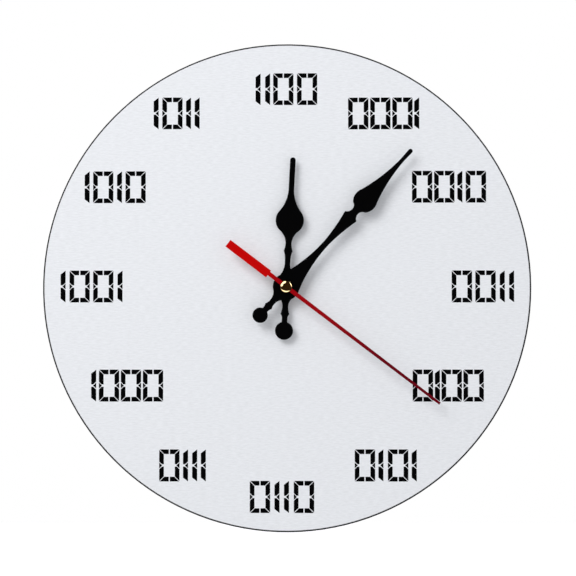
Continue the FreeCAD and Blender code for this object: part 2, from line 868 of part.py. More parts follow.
def make_rotor(phase):
    magnet = new_body("rotor_magnet")
    add_ring(magnet, "Magnet", "magnet_radius", "magnet_bore", "magnet_low", "magnet_high")
    place_on_arbor(magnet, "rotor_across", "rotor_up", phase)

    pinion = new_body("rotor_pinion")
    add_pinion(
        pinion, "Rotor", "rotor_teeth", "rotor_module", "rotor_level - shoulder_gap",
        "rotor_level + wheel_thickness + shoulder_gap",
    )
    add_disc(
        pinion, "Collar", "2 * magnet_bore", "magnet_high", "rotor_level - shoulder_gap / 2"
    )
    add_disc(pinion, "Hub", "magnet_bore - seat_play", "boss_top + shoulder_gap", "rotor_level")
    add_disc(pinion, "Neck", "arbor_radius", "rotor_level", "bridge_level - shoulder_gap")
    add_disc(pinion, "Pivots", "pivot_radius", "cover_thickness", "bridge_front")
    place_on_arbor(pinion, "rotor_across", "rotor_up", phase)


def make_intermediate_wheel(phase):
    body = new_body("intermediate_wheel")
    add_wheel(body, "Intermediate", "intermediate_teeth", "rotor_module", "rotor_level")
    add_pinion(
        body, "IntermediatePinion", "intermediate_leaves", "second_module", "rotor_level",
        "second_level + wheel_thickness + shoulder_gap",
    )
    add_disc(body, "Arbor", "arbor_radius", "boss_top + shoulder_gap", "bridge_level - shoulder_gap")
    add_disc(body, "Pivots", "pivot_radius", "cover_thickness", "bridge_front")
    place_on_arbor(body, "intermediate_across", "intermediate_up", phase)


def make_second_wheel():
    wheel = new_body("second_wheel")
    add_wheel(wheel, "Second", "second_teeth", "second_module", "second_level")
    add_pinion(
        wheel, "SecondPinion", "second_leaves", "third_module", "second_level",
        "third_level + wheel_thickness + shoulder_gap",
    )
    add_disc(wheel, "Hub", "2 * second_arbor_radius + arbor_radius", "rotor_level", "second_level")
    cut_hole(
        wheel, "Bore", "second_arbor_radius + seat_play", "rotor_level", "bridge_level"
    )
    cut_windows(wheel, "Second", "second_teeth * second_module / 2", "second_level")

    arbor = new_body("second_arbor")
    add_disc(arbor, "Arbor", "second_arbor_radius", "cover_thickness", "second_arbor_front")


def make_third_wheel(phase):
    body = new_body("third_wheel")
    add_wheel(body, "Third", "third_teeth", "third_module", "third_level")
    add_pinion(
        body, "ThirdPinion", "third_leaves", "centre_module", "third_level",
        "centre_level + wheel_thickness + shoulder_gap / 2",
    )
    add_disc(body, "Arbor", "arbor_radius", "boss_top + shoulder_gap", "third_level")
    add_disc(body, "Pivots", "pivot_radius", "cover_thickness", "hour_level")
    cut_windows(body, "Third", "third_teeth * third_module / 2", "third_level")
    place_on_arbor(body, "third_across", "third_up", phase)


def make_centre_wheel(phase):
    body = new_body("centre_wheel")
    add_wheel(body, "Centre", "centre_teeth", "centre_module", "centre_level")
    bore = "minute_tube_radius + running_play + arbor_radius"
    cut_hole(body, "Bore", bore, "centre_level", "centre_level + wheel_thickness")
    cut_windows(body, "Centre", "centre_teeth * centre_module / 2", "centre_level")
    place_on_arbor(body, "0", "0", phase)


def make_cannon_pinion():
    """The minute arbor: a pinion with the tube of the minute hand."""
    body = new_body("cannon_pinion")
    pinion_back = "centre_level + wheel_thickness + shoulder_gap / 2"
    add_pinion(
        body, "Cannon", "cannon_leaves", "motion_module", pinion_back, "hour_level - shoulder_gap / 2"
    )
    add_disc(body, "Seat", "minute_tube_radius + arbor_radius", "bridge_front + shoulder_gap", pinion_back)
    add_disc(body, "Tube", "minute_tube_radius", pinion_back, "minute_hand_front + tube_stand_out")
    bearing = "second_leaves * third_module / 2 + pivot_play - running_play"
    add_disc(body, "Bearing", bearing, "bridge_level + shoulder_gap / 2", pinion_back)
    cut_hole(
        body, "Bore", "minute_tube_bore", "bridge_level", "minute_hand_front + tube_stand_out"
    )


def make_motion_work(work_phase, hour_phase):
    work = new_body("minute_work_wheel")
    add_wheel(work, "MinuteWork", "minute_work_teeth", "motion_module", "minute_level")
    add_pinion(
        work, "MinuteWorkPinion", "minute_work_leaves", "motion_module", "minute_level",
        "hour_level + wheel_thickness + shoulder_gap / 2",
    )
    cut_hole(
        work, "Bore", "stud_radius + pivot_play", "minute_level",
        "hour_level + wheel_thickness + shoulder_gap / 2",
    )
    place_on_arbor(work, "minute_work_across", "minute_work_up", work_phase)

    hour = new_body("hour_wheel")
    add_wheel(hour, "Hour", "hour_teeth", "motion_module", "hour_level")
    pipe_front = "hour_hand_front + tube_stand_out"
    add_disc(hour, "Pipe", "hour_pipe_radius", "hour_level", pipe_front)
    cut_hole(hour, "Bore", "hour_pipe_bore", "hour_level", pipe_front)
    place_on_arbor(hour, "0", "0", hour_phase)


def make_setting_knob(phase):
    body = new_body("setting_knob")
    add_pinion(
        body, "Setting", "setting_leaves", "motion_module", "minute_level - shoulder_gap",
        "minute_level + wheel_thickness + shoulder_gap",
    )
    add_disc(body, "Shaft", "knob_shaft_radius", "knob_recess", "minute_level")
    add_disc(body, "Knob", "knob_radius", "knob_recess", "knob_front")
    add_disc(body, "Pivot", "stud_radius", "minute_level", "room_front - 2 * shoulder_gap")
    place_on_arbor(body, "setting_across", "setting_up", phase)


# ---------------------------------------------------------------- stepping motor


def make_motor():
    stator = new_body("stator")
    front = "core_level"
    side = "stator_width / 2"
    add_disc(stator, "Ring", "stator_ring", "stator_level", front, "rotor_across", "rotor_up")
    add_block(
        stator, "Spine", f"rotor_across - {side}", f"rotor_across + {side}", "core_bottom", "core_top",
        "stator_level", front,
    )
    for name, bottom, top in (
        ("Lower", "core_bottom", "core_bottom + stator_arm"),
        ("Upper", "core_top - stator_arm", "core_top"),
    ):
        add_block(
            stator, "Arm" + name, "rotor_across", "coil_across + core_width", bottom, top,
            "stator_level", front,
        )
    cut_hole(stator, "RotorHole", "stator_hole", "stator_level", front, "rotor_across", "rotor_up")
    pins = new_sketch(stator, "PinHoles", front)
    for across, up in stator_peg_places():
        add_circle(pins, "board_pin_radius + seat_play", across, up)
    pocket(stator, pins, "stator_thickness")

    core = new_body("coil_core")
    add_block(
        core, "CoreBar", "coil_across - core_width / 2", "coil_across + core_width / 2", "core_bottom",
        "core_top", "core_level", "core_level + core_height",
    )
    make_coil()


def make_coil():
    """The bobbin on its upright axis, and the winding between its flanges."""
    bobbin = new_body("coil_bobbin")
    for name, radius, low, high in (
        ("BobbinTube", "coil_tube_radius", "coil_bottom", "coil_top"),
        ("LowerFlange", "coil_flange_radius", "coil_bottom", "coil_bottom + coil_flange"),
        ("UpperFlange", "coil_flange_radius", "coil_top - coil_flange", "coil_top"),
    ):
        sketch = new_sketch(bobbin, name, low, "XY_Plane")
        add_circle(sketch, radius, "coil_across", "0 - coil_height")
        pad(bobbin, sketch, between(low, high))
    slot = new_sketch(bobbin, "CoreSlot", "coil_top", "XY_Plane")
    half_width = "core_width / 2 + seat_play"
    half_height = "core_height / 2 + seat_play"
    add_rectangle(
        slot, f"coil_across - ({half_width})", f"coil_across + {half_width}",
        f"0 - coil_height - ({half_height})", f"0 - coil_height + {half_height}",
    )
    pocket(bobbin, slot, between("coil_bottom", "coil_top"))

    winding = new_body("coil_winding")
    low = "coil_bottom + coil_flange"
    sketch = new_sketch(winding, "Winding", low, "XY_Plane")
    add_circle(sketch, "coil_winding_radius", "coil_across", "0 - coil_height")
    add_circle(sketch, "coil_tube_radius + seat_play", "coil_across", "0 - coil_height")
    pad(winding, sketch, between(low, "coil_top - coil_flange"))


# ---------------------------------------------------------------- circuit


def make_circuit():
    board = new_body("circuit_board")
    add_block(
        board, "Board", "board_left", "board_right", "board_bottom", "board_top", "board_level",
        "board_front",
    )
    pins = new_sketch(board, "PinHoles", "board_front")
    for across, up in board_peg_places():
        add_circle(pins, "board_pin_radius + seat_play", across, up)
    lower_peg = stator_peg_places()[1]
    add_circle(pins, "board_peg_radius + running_play", *lower_peg)
    pocket(board, pins, "board_thickness")

    chip = new_body("chip_blob")
    drop = add_disc(
        chip, "Blob", "chip_radius", "board_front", "board_front + chip_height", "chip_across",
        "board_middle",
    )
    top = size("board_front") + size("chip_height")
    dress_edges(chip, "Chamfer", drop, "chip_edge", lambda edge: lies_at_height(edge, top))

    crystal = new_body("quartz_crystal")
    can = new_sketch(crystal, "Can", "crystal_across", "YZ_Plane")
    add_circle(can, "crystal_radius", "0 - board_front - crystal_radius", "board_middle")
    pad(crystal, can, "crystal_length")


# ---------------------------------------------------------------- battery


def make_battery():
    can = new_body("battery_can")
    sketch = new_sketch(can, "Can", "battery_left", "YZ_Plane")
    add_circle(sketch, "battery_radius", "0 - battery_height", "battery_up")
    tube = pad(can, sketch, "battery_can_length")
    dress_edges(can, "Chamfer", tube, "battery_edge", lambda edge: edge.BoundBox.XLength < 1e-6)

    nub = new_body("battery_nub")
    sketch = new_sketch(nub, "Nub", "battery_right", "YZ_Plane")
    add_circle(sketch, "battery_nub_radius", "0 - battery_height", "battery_up")
    pad(nub, sketch, "battery_nub_length")


def make_contact(label, side):
    """A bent strip: an end plate beside the battery, a riser, and a tab on the circuit board.

    side is -1 for the negative strip at the left and 1 for the positive one at the right.
    """
    body = new_body(label)

    def span(inner, outer):
        """The two formulas of a distance from the middle, in order from left to right."""
        return (inner, outer) if side > 0 else (f"0 - ({outer})", f"0 - ({inner})")

    plate_left, plate_right = span("contact_plate", "contact_plate + contact_thickness")
    low = "battery_height - contact_width / 2"
    high = "battery_height + contact_width / 2"
    add_block(
        body, "EndPlate", plate_left, plate_right, "battery_up - contact_half_height",
        "battery_up + contact_half_height", low, high,
    )
    tab_top = "room_bottom + tab_height + contact_thickness"
    add_block(
        body, "Riser", plate_left, plate_right, "battery_up", tab_top, "board_front", "riser_end",
    )
    reach = "board_right - tab_overlap" if side > 0 else "0 - board_left - tab_overlap"
    tab_left, tab_right = span(reach, "contact_plate + contact_thickness")
    add_block(
        body, "Tab", tab_left, tab_right, f"{tab_top} - tab_height", tab_top, "board_front",
        "board_front + contact_thickness",
    )
    return body


def make_contacts():
    negative = make_contact("negative_contact", -1)
    low = "battery_height - contact_width / 2"
    leaf = new_sketch(negative, "Leaf", low)
    plate = -size("contact_plate")
    crest = size("battery_left") - size("contact_battery_gap")
    middle = size("battery_up")
    half = size("contact_half_height") - 2 * size("contact_thickness")
    thickness = size("contact_thickness")
    inner_half = half - 2 * thickness
    for x, reach in ((crest, half), (crest - thickness, inner_half)):
        top = Vector(plate, middle + reach, 0)
        bottom = Vector(plate, middle - reach, 0)
        leaf.addGeometry(Part.Arc(top, Vector(x, middle, 0), bottom))
    for way in (1, -1):
        start = Vector(plate, middle + way * half, 0)
        end = Vector(plate, middle + way * inner_half, 0)
        leaf.addGeometry(Part.LineSegment(start, end))
    pad(negative, leaf, "contact_width")

    positive = make_contact("positive_contact", 1)
    dimple = new_sketch(positive, "Dimple", "battery_end + contact_battery_gap", "YZ_Plane")
    add_circle(dimple, "dimple_radius", "0 - battery_height", "battery_up")
    pad(positive, dimple, between("battery_end + contact_battery_gap", "contact_plate + contact_thickness"))


# ---------------------------------------------------------------- hands


def ball_and_neck(ball_distance, ball_radius, neck):
    """The first moves of a hand: round the tail's ball to its neck."""
    start = (0, -ball_distance - ball_radius)
    joint = -ball_distance + math.sqrt(ball_radius**2 - neck**2)
    return start, [((ball_radius, -ball_distance), (neck, joint))]


def hub_point(radius, up):
    return (math.sqrt(radius**2 - up**2), up)


def hour_outline():
    hub = size("hour_hub_radius")
    stem = size("hour_stem")
    neck = size("hour_neck")
    collar = size("hour_collar")
    collar_up = size("hour_collar_distance")
    tail_collar_up = -size("hour_tail_collar_distance")
    bulb = size("hour_bulb_radius")
    bulb_up = size("hour_bulb_distance")
    length = size("hour_length")
    start, moves = ball_and_neck(size("hour_ball_distance"), size("hour_ball_radius"), stem)
    moves += [
        ((stem, tail_collar_up - 0.77 * collar),),
        ((stem + 0.13 * collar, tail_collar_up - 0.37 * collar), (collar, tail_collar_up)),
        ((stem + 0.16 * collar, tail_collar_up + 0.7 * collar), (1.06 * neck, tail_collar_up + 1.6 * collar)),
        ((1.35 * neck, -1.19 * hub), hub_point(hub, -0.86 * hub)),
        ((hub, 0), hub_point(hub, 0.76 * hub)),
        ((1.82 * neck, 1.125 * hub), (neck, 1.975 * hub)),
        ((1.09 * neck, collar_up - 1.28 * collar), (collar, collar_up)),
        ((1.24 * neck, collar_up + 0.81 * collar), (1.06 * neck, collar_up + 1.76 * collar)),
        ((0.33 * bulb, bulb_up - 1.14 * bulb), (0.57 * bulb, bulb_up - 0.8 * bulb)),
        ((bulb, bulb_up), (0.75 * bulb, bulb_up + 0.67 * bulb)),
        ((1.9 * stem, bulb_up + 1.33 * bulb), (stem, bulb_up + 2.18 * bulb)),
        ((stem, length - stem),),
        ((stem * math.sqrt(0.5), length - stem + stem * math.sqrt(0.5)), (0, length)),
    ]
    return start, moves


def minute_outline():
    hub = size("minute_hub_radius")
    neck = size("minute_neck")
    neck_up = size("minute_neck_distance")
    corner = size("minute_corner")
    corner_up = size("minute_corner_distance")
    head = size("minute_head_radius")
    head_up = size("minute_head_distance")
    tip = size("minute_tip")
    tip_up = size("minute_tip_start")
    tail = size("minute_tail_neck")
    collar = size("minute_tail_collar")
    collar_up = -size("minute_tail_collar_distance")
    length = size("minute_length")
    start, moves = ball_and_neck(size("minute_ball_distance"), size("minute_ball_radius"), tail)
    moves += [
        ((tail, collar_up - 0.89 * collar),),
        ((tail + 0.09 * collar, collar_up - 0.44 * collar), (collar, collar_up)),
        ((tail + 0.07 * collar, collar_up + 0.56 * collar), (tail, collar_up + 1.37 * collar)),
        ((1.28 * tail, -1.18 * hub), hub_point(hub, -0.86 * hub)),
        ((hub, 0), hub_point(hub, 0.42 * hub)),
        ((0.69 * hub, 1.036 * hub), (0.5 * hub, neck_up - 2.71 * hub)),
        ((1.4 * neck, neck_up - 1.57 * hub), (neck, neck_up)),
        ((0.58 * corner, corner_up - 2.35 * corner), (corner, corner_up)),
        ((0.61 * corner, corner_up + 0.375 * corner), (0.49 * corner, corner_up + 0.77 * corner)),
        ((0.42 * head, head_up - 0.94 * head), (0.69 * head, head_up - 0.75 * head)),
        ((head, head_up), (0.87 * head, head_up + 0.56 * head)),
        ((0.395 * head, head_up + 2.47 * head), (0.86 * tip, tip_up)),
        ((tip, length - tip),),
        ((tip * math.sqrt(0.5), length - tip + tip * math.sqrt(0.5)), (0, length)),
    ]
    return start, moves


def second_outline():
    """The thin arm, which runs on to the end of the counterweight."""
    arm = size("second_arm")
    start = (0, -size("second_block_end"))
    moves = [
        ((arm, -size("second_block_end")),),
        ((arm, 0),),
        ((size("second_tip"), size("second_length")),),
        ((0, size("second_length")),),
    ]
    return start, moves


def make_flat_hand(label, outline, level, thickness, angle, hole):
    """A stamped hand that points to twelve, then turned to its time."""
    body = new_body(label)
    sketch = new_sketch(body, label.title().replace("_", ""), level)
    add_mirrored_outline(sketch, *outline)
    pad(body, sketch, thickness)
    if label == "second_hand":
        add_disc(body, "Boss", "second_hub_radius", level, f"{level} + {thickness}")
        add_block(
            body, "Counterweight", "second_block_offset - second_block",
            "second_block_offset + second_block", "0 - second_block_end", "0 - second_block_start",
            level, f"{level} + {thickness}",
        )
    cut_hole(body, "HubHole", hole, level, f"{level} + {thickness}")
    body.Placement.Rotation = FreeCAD.Rotation(Vector(0, 1, 0), size(angle))


def make_hands():
    make_flat_hand(
        "hour_hand", hour_outline(), "hour_hand_level", "hand_thickness", "hour_angle",
        "hour_pipe_radius + seat_play",
    )
    make_flat_hand(
        "minute_hand", minute_outline(), "minute_hand_level", "hand_thickness", "minute_angle",
        "minute_tube_radius + seat_play",
    )
    make_flat_hand(
        "second_hand", second_outline(), "second_hand_level", "second_hand_thickness", "second_angle",
        "second_tube_radius + seat_play",
    )
    hour_bush = new_body("hour_hand_bush")
    add_ring(
        hour_bush, "Bush", "hour_bush_radius", "hour_pipe_radius + seat_play",
        "hour_hand_level - hour_bush_height", "hour_hand_level",
    )
    minute_bush = new_body("minute_hand_bush")
    add_ring(
        minute_bush, "Bush", "minute_bush_radius", "minute_tube_radius + seat_play",
        "minute_hand_level - minute_bush_height", "minute_hand_level",
    )
    second_tube = new_body("second_hand_tube")
    add_ring(
        second_tube, "Tube", "second_tube_radius", "second_arbor_radius + seat_play",
        "second_hand_front - second_tube_length", "second_hand_front",
    )
    make_cap()


def make_cap():
    """The domed cap over the end of the second arbor, turned about the main axis."""
    body = new_body("second_hand_cap")
    sketch = new_sketch(body, "CapProfile", "0", "YZ_Plane")
    base = -size("second_hand_front")
    radius = size("cap_radius")
    rim = size("cap_rim")
    height = size("cap_height")
    socket_radius = size("second_arbor_radius") + size("seat_play")
    socket_end = base - size("cap_socket")
    rise = height - rim
    dome_radius = (radius**2 + rise**2) / (2 * rise)
    dome_centre = base - height + dome_radius
    half_turn = math.asin(radius / dome_radius) / 2
    on_dome = Vector(dome_centre - dome_radius * math.cos(half_turn), dome_radius * math.sin(half_turn), 0)
    corners = [
        Vector(base - rim, radius, 0),
        Vector(base, radius, 0),
        Vector(base, socket_radius, 0),
        Vector(socket_end, socket_radius, 0),
        Vector(socket_end, 0, 0),
        Vector(base - height, 0, 0),
    ]
    for start, end in zip(corners, corners[1:]):
        sketch.addGeometry(Part.LineSegment(start, end))
    sketch.addGeometry(Part.Arc(corners[-1], on_dome, corners[0]))
    turned = body.newObject("PartDesign::Revolution", "CapTurned")
    turned.Profile = sketch
    turned.ReferenceAxis = (sketch, ["H_Axis"])
    turned.Angle = 360


# ---------------------------------------------------------------- the whole clock


def make_train():
    """Each wheel's teeth stand in the gaps of the wheel that drives it."""
    intermediate_phase = mating_phase(
        0, "second_teeth", "intermediate_leaves", size("intermediate_direction")
    )
    rotor_phase = mating_phase(
        intermediate_phase, "intermediate_teeth", "rotor_teeth", size("rotor_direction")
    )
    third_phase = mating_phase(0, "second_leaves", "third_teeth", size("third_direction"))
    centre_phase = mating_phase(
        third_phase, "third_leaves", "centre_teeth", size("third_direction") + 180
    )
    work_phase = mating_phase(0, "cannon_leaves", "minute_work_teeth", size("minute_work_direction"))
    hour_phase = mating_phase(
        work_phase, "minute_work_leaves", "hour_teeth", size("minute_work_direction") + 180
    )
    setting_phase = mating_phase(
        work_phase, "minute_work_teeth", "setting_leaves", size("setting_direction")
    )
    make_bridge()
    make_rotor(rotor_phase)
    make_intermediate_wheel(intermediate_phase)
    make_second_wheel()
    make_third_wheel(third_phase)
    make_centre_wheel(centre_phase)
    make_cannon_pinion()
    make_motion_work(work_phase, hour_phase)
    make_setting_knob(setting_phase)


def check_document():
    """Stops the build if a feature failed or a piece isn't one valid solid."""
    for item in doc.Objects:
        if "Invalid" in item.State or "Error" in item.State:
            raise RuntimeError(f"{item.Label} failed: {item.State}")
    for body in doc.findObjects("PartDesign::Body"):
        if body.Shape.isNull() or not body.Shape.isValid() or len(body.Shape.Solids) != 1:
            raise RuntimeError(f"{body.Label} isn't one valid solid")


def main():
    fill_sheet()
    make_dial()
    make_case()
    make_back_cover()
    make_fixings()
    make_train()
    make_motor()
    make_circuit()
    make_battery()
    make_contacts()
    make_hands()
    doc.recompute()
    check_document()
    os.makedirs("parts", exist_ok=True)
    for body in doc.findObjects("PartDesign::Body"):
        body.Shape.exportStep(f"parts/{body.Label}.step")
        print(f"{body.Label}: {body.Shape.Volume:.2f} mm3")


main()
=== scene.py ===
"""Round wall clock with binary hour numbers: finishes, printed figures, fine detail and studio.

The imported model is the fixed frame, in metres: +Z up, the dial faces -Y, the hands turn on the Y axis.
Each operator dresses one group of pieces; main() calls them in order.
"""

import math

import bmesh
import bpy
from bpy.props import FloatProperty, FloatVectorProperty, IntProperty, PointerProperty
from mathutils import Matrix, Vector


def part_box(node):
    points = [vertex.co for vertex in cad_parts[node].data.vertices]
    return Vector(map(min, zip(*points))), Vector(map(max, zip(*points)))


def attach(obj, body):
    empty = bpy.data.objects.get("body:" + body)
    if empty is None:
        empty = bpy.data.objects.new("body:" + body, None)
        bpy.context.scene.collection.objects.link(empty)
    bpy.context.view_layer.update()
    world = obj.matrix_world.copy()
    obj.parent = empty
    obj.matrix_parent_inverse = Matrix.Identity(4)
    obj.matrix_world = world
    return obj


bl_info = {
    "name": "Binary Wall Clock",
    "version": (1, 0, 0),
    "blender": (4, 5, 0),
    "location": "3D View > Sidebar > Clock",
    "description": "Dresses a round wall clock with binary hour numbers",
    "category": "Object",
}

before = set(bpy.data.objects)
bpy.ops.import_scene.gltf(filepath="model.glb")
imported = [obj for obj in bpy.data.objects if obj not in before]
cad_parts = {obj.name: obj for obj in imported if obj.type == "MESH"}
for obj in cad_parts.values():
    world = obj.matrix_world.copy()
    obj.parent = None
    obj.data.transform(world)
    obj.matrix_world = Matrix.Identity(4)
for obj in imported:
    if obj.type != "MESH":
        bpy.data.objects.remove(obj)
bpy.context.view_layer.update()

MM = 0.001
MICRON = 0.000001
SHARP_CHANGE = 0.05 * MM
WHITE = (1.0, 1.0, 1.0, 1.0)
MOVEMENT = "movement"
DIAL_FACE_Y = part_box("dial_face_skin")[0][1]
KNOB_LOW, KNOB_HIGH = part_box("setting_knob")
BUSH_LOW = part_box("threaded_bush")[0]
NUT_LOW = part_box("hex_nut")[0]
WINDING_LOW, WINDING_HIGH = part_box("coil_winding")
BATTERY_LOW, BATTERY_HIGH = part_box("battery_can")

# The hour numbers from twelve, clockwise: figures, height of their middle, middle of each figure, in mm.
HOUR_NUMBERS = (
    ("1100", 124.1, (-17.8, -11.8, -2.0, 12.9)),
    ("0001", 108.7, (44.9, 58.7, 72.5, 81.4)),
    ("0010", 62.7, (84.7, 98.5, 108.2, 118.2)),
    ("0011", 0.4, (109.3, 124.0, 134.4, 140.2)),
    ("0100", -61.3, (84.9, 93.9, 102.8, 116.4)),
    ("0101", -110.9, (48.8, 58.7, 69.4, 79.4)),
    ("0110", -130.5, (-16.5, -5.9, 0.0, 10.9)),
    ("0111", -111.0, (-73.0, -62.9, -57.2, -51.8)),
    ("1000", -61.3, (-120.4, -110.8, -97.1, -83.3)),
    ("1001", 0.6, (-139.8, -129.4, -114.6, -104.1)),
    ("1010", 62.8, (-124.9, -114.8, -104.6, -94.5)),
    ("1011", 109.1, (-81.7, -71.5, -61.4, -56.0)),
)


# ---------------------------------------------------------------- settings


def length(name, description, metres):
    return FloatProperty(
        name=name, description=description, default=metres, min=0.0, unit="LENGTH", precision=5
    )


def power(name, description, watts):
    return FloatProperty(name=name, description=description, default=watts, min=0.0, unit="POWER")


def share(name, description, default):
    return FloatProperty(
        name=name, description=description, default=default, min=0.0, max=1.0, subtype="FACTOR"
    )


def colour(name, description, default):
    return FloatVectorProperty(
        name=name, description=description, default=default, size=3, min=0.0, max=1.0, subtype="COLOR"
    )


def angle(name, description, degrees):
    return FloatProperty(name=name, description=description, default=math.radians(degrees), subtype="ANGLE")


class ClockDialSettings(bpy.types.PropertyGroup):
    """Sizes and colours of the dial and its printed figures."""

    face_colour: colour("Face", "Colour of the coated face", (0.826, 0.84, 0.870))
    rear_colour: colour("Rear", "Colour of the bare rear skin", (0.60, 0.61, 0.63))
    edge_colour: colour("Cut edge", "Colour of the face skin's bare cut edge", (0.12, 0.12, 0.125))
    core_colour: colour("Core", "Colour of the plastic core at the rim", (0.006, 0.006, 0.007))
    ink_colour: colour("Ink", "Colour of the printed figures", (0.0014, 0.0014, 0.0018))
    line_contrast: share("Brushed lines", "Contrast of the brushed lines in the face", 0.16)
    figure_height: length("Figure height", "Height of a figure", 19.9 * MM)
    figure_width: length("Figure width", "Width of a nought", 12.65 * MM)
    stroke: length("Stroke", "Width of a segment", 2.9 * MM)
    middle_gap: length("Middle gap", "Gap between the two halves of a level segment", 0.7 * MM)
    ink_thickness: length("Ink thickness", "How far the ink stands above the face", 0.04 * MM)


class ClockHandSettings(bpy.types.PropertyGroup):
    """Colours of the hands and their brass fittings."""

    black: colour("Black", "Paint of the hour and minute hands", (0.0012, 0.0012, 0.0014))
    red: colour("Red", "Paint of the second hand's counterweight", (0.525, 0.0, 0.0))
    arm_red: colour("Arm red", "Paint of the second hand's thin arm", (0.31, 0.0, 0.003))
    tip_red: colour("Tip red", "Paint of the second hand's tip", (0.135, 0.0, 0.006))
    cap_brass: colour("Cap", "Polished brass of the cap", (0.90, 0.64, 0.27))
    # Cap rim, with its width and fade, makes a dark brown band at the edge of the polished cap.
    cap_rim: colour("Cap rim", "Darkened brass at the cap's rim", (0.05, 0.028, 0.010))
    rim_width: length("Cap rim width", "Width of the darkened brass", 0.35 * MM)
    rim_fade: length("Cap rim fade", "Over what width the brass darkens", 0.25 * MM)
    brass: colour("Fittings", "Turned brass of the fittings", (0.72, 0.50, 0.20))
    red_start: length("Red start", "From the axis back to where the counterweight's red ends", 14.0 * MM)
    red_end: length("Red end", "From the axis out to where the tip's red is reached", 92.0 * MM)


class ClockMovementSettings(bpy.types.PropertyGroup):
    """Colours and fine detail of the movement."""

    case_colour: colour("Case", "Moulded plastic of the case", (0.020, 0.020, 0.022))
    train_colour: colour("Wheels", "Moulded plastic of the wheels", (0.78, 0.77, 0.70))
    copper: colour("Winding", "Enamelled copper wire", (0.62, 0.20, 0.07))
    steel: colour("Steel", "Arbor, contacts, coil core and stator", (0.56, 0.56, 0.57))
    magnet: colour("Magnet", "Sintered magnet of the rotor", (0.06, 0.06, 0.065))
    board: colour("Board", "Paper laminate of the circuit board", (0.26, 0.15, 0.06))
    blob: colour("Blob", "Epoxy over the chip", (0.012, 0.012, 0.013))
    rubber: colour("Rubber", "Washer behind the dial", (0.018, 0.018, 0.018))
    jacket_colour: colour("Battery jacket", "Printed film round the battery", (0.035, 0.060, 0.105))
    jacket_band: colour("Battery band", "Band at the battery's positive end", (0.62, 0.30, 0.10))
    battery_print: colour("Battery signs", "Plus and minus on the battery", (0.70, 0.69, 0.66))
    knob_colour: colour("Knob", "Moulded plastic of the setting knob", (0.03, 0.03, 0.033))
    worn_colour: colour("Arrows", "Worn plastic of the raised arrows", (0.075, 0.075, 0.079))
    knob_ribs: IntProperty(name="Knob ribs", description="Ribs round the setting knob", default=40, min=3)
    rib_radius: length("Rib radius", "Half the width of a knob rib", 0.32 * MM)
    rib_length: length("Rib length", "Length of a knob rib", 2.8 * MM)
    thread_pitch: length("Thread pitch", "Rise of one turn of the bush's thread", 0.75 * MM)
    thread_radius: length("Thread radius", "From the axis to the middle of the thread's ridge", 3.9 * MM)
    ridge_radius: length("Ridge radius", "Half the width of the thread's ridge", 0.17 * MM)
    wire_pitch: length("Wire pitch", "Distance between turns of the winding", 0.45 * MM)


class ClockStudioSettings(bpy.types.PropertyGroup):
    """Camera, lamps and floor."""

    camera_distance: length("Camera distance", "From the lens to the dial", 1.5)
    camera_right: angle("Camera to the right", "How far the camera stands to the right", 1.4955)
    camera_low: angle("Camera below", "How far the camera stands below the dial's middle", 2.3181)
    focal_length: FloatProperty(
        name="Focal length", description="Of the lens, in mm", default=150.24, min=1.0
    )
    aim_right: length("Aim to the right", "Where the camera points, right of the middle", 0.95 * MM)
    aim_low: length("Aim below", "Where the camera points, below the middle", 0.47 * MM)
    key_power: power("Key lamp", "Power of the key lamp", 20.0)
    fill_power: power("Fill lamp", "Power of the fill lamp", 2.8)
    back_power: power("Back lamp", "Power of the lamp behind", 14.0)
    ambient: share("Ambient", "Light from all round", 0.584)
    dim_room: share("Dim room", "Brightness of the room that bright pieces mirror", 0.028)
    floor_drop: length("Floor drop", "Floor below the dial's middle", 0.32)


# ---------------------------------------------------------------- shader groups and materials


def new_surface(name, base, roughness, numbers):
    """A shader group that gives a colour, a roughness and a height, with its input and output nodes."""
    group = bpy.data.node_groups.new(name, "ShaderNodeTree")
    kinds = {"Color": "NodeSocketColor"}
    inputs = {"Color": (*base, 1.0), "Roughness": roughness, **numbers}
    for label, default in inputs.items():
        kind = kinds.get(label, "NodeSocketFloat")
        group.interface.new_socket(name=label, in_out="INPUT", socket_type=kind).default_value = default
    for label in ("Color", "Roughness", "Height"):
        kind = kinds.get(label, "NodeSocketFloat")
        group.interface.new_socket(name=label, in_out="OUTPUT", socket_type=kind)
    return group, group.nodes.new("NodeGroupInput"), group.nodes.new("NodeGroupOutput")


def math_node(nodes, operation, second=None):
    node = nodes.new("ShaderNodeMath")
    node.operation = operation
    if second is not None:
        node.inputs[1].default_value = second
    return node


def noise_node(nodes, scale, detail):
    node = nodes.new("ShaderNodeTexNoise")
    node.inputs["Scale"].default_value = scale
    node.inputs["Detail"].default_value = detail
    return node


def scaled_place(group, source, target, sizes):
    """Feeds Object coordinates, stretched by three of the group's inputs, to a texture."""
    place = group.nodes.new("ShaderNodeTexCoord")
    stretch = group.nodes.new("ShaderNodeCombineXYZ")
    product = group.nodes.new("ShaderNodeVectorMath")
    product.operation = "MULTIPLY"
    for axis, label in zip("XYZ", sizes):
        group.links.new(source.outputs[label], stretch.inputs[axis])
    group.links.new(place.outputs["Object"], product.inputs[0])
    group.links.new(stretch.outputs["Vector"], product.inputs[1])
    group.links.new(product.outputs["Vector"], target.inputs["Vector"])


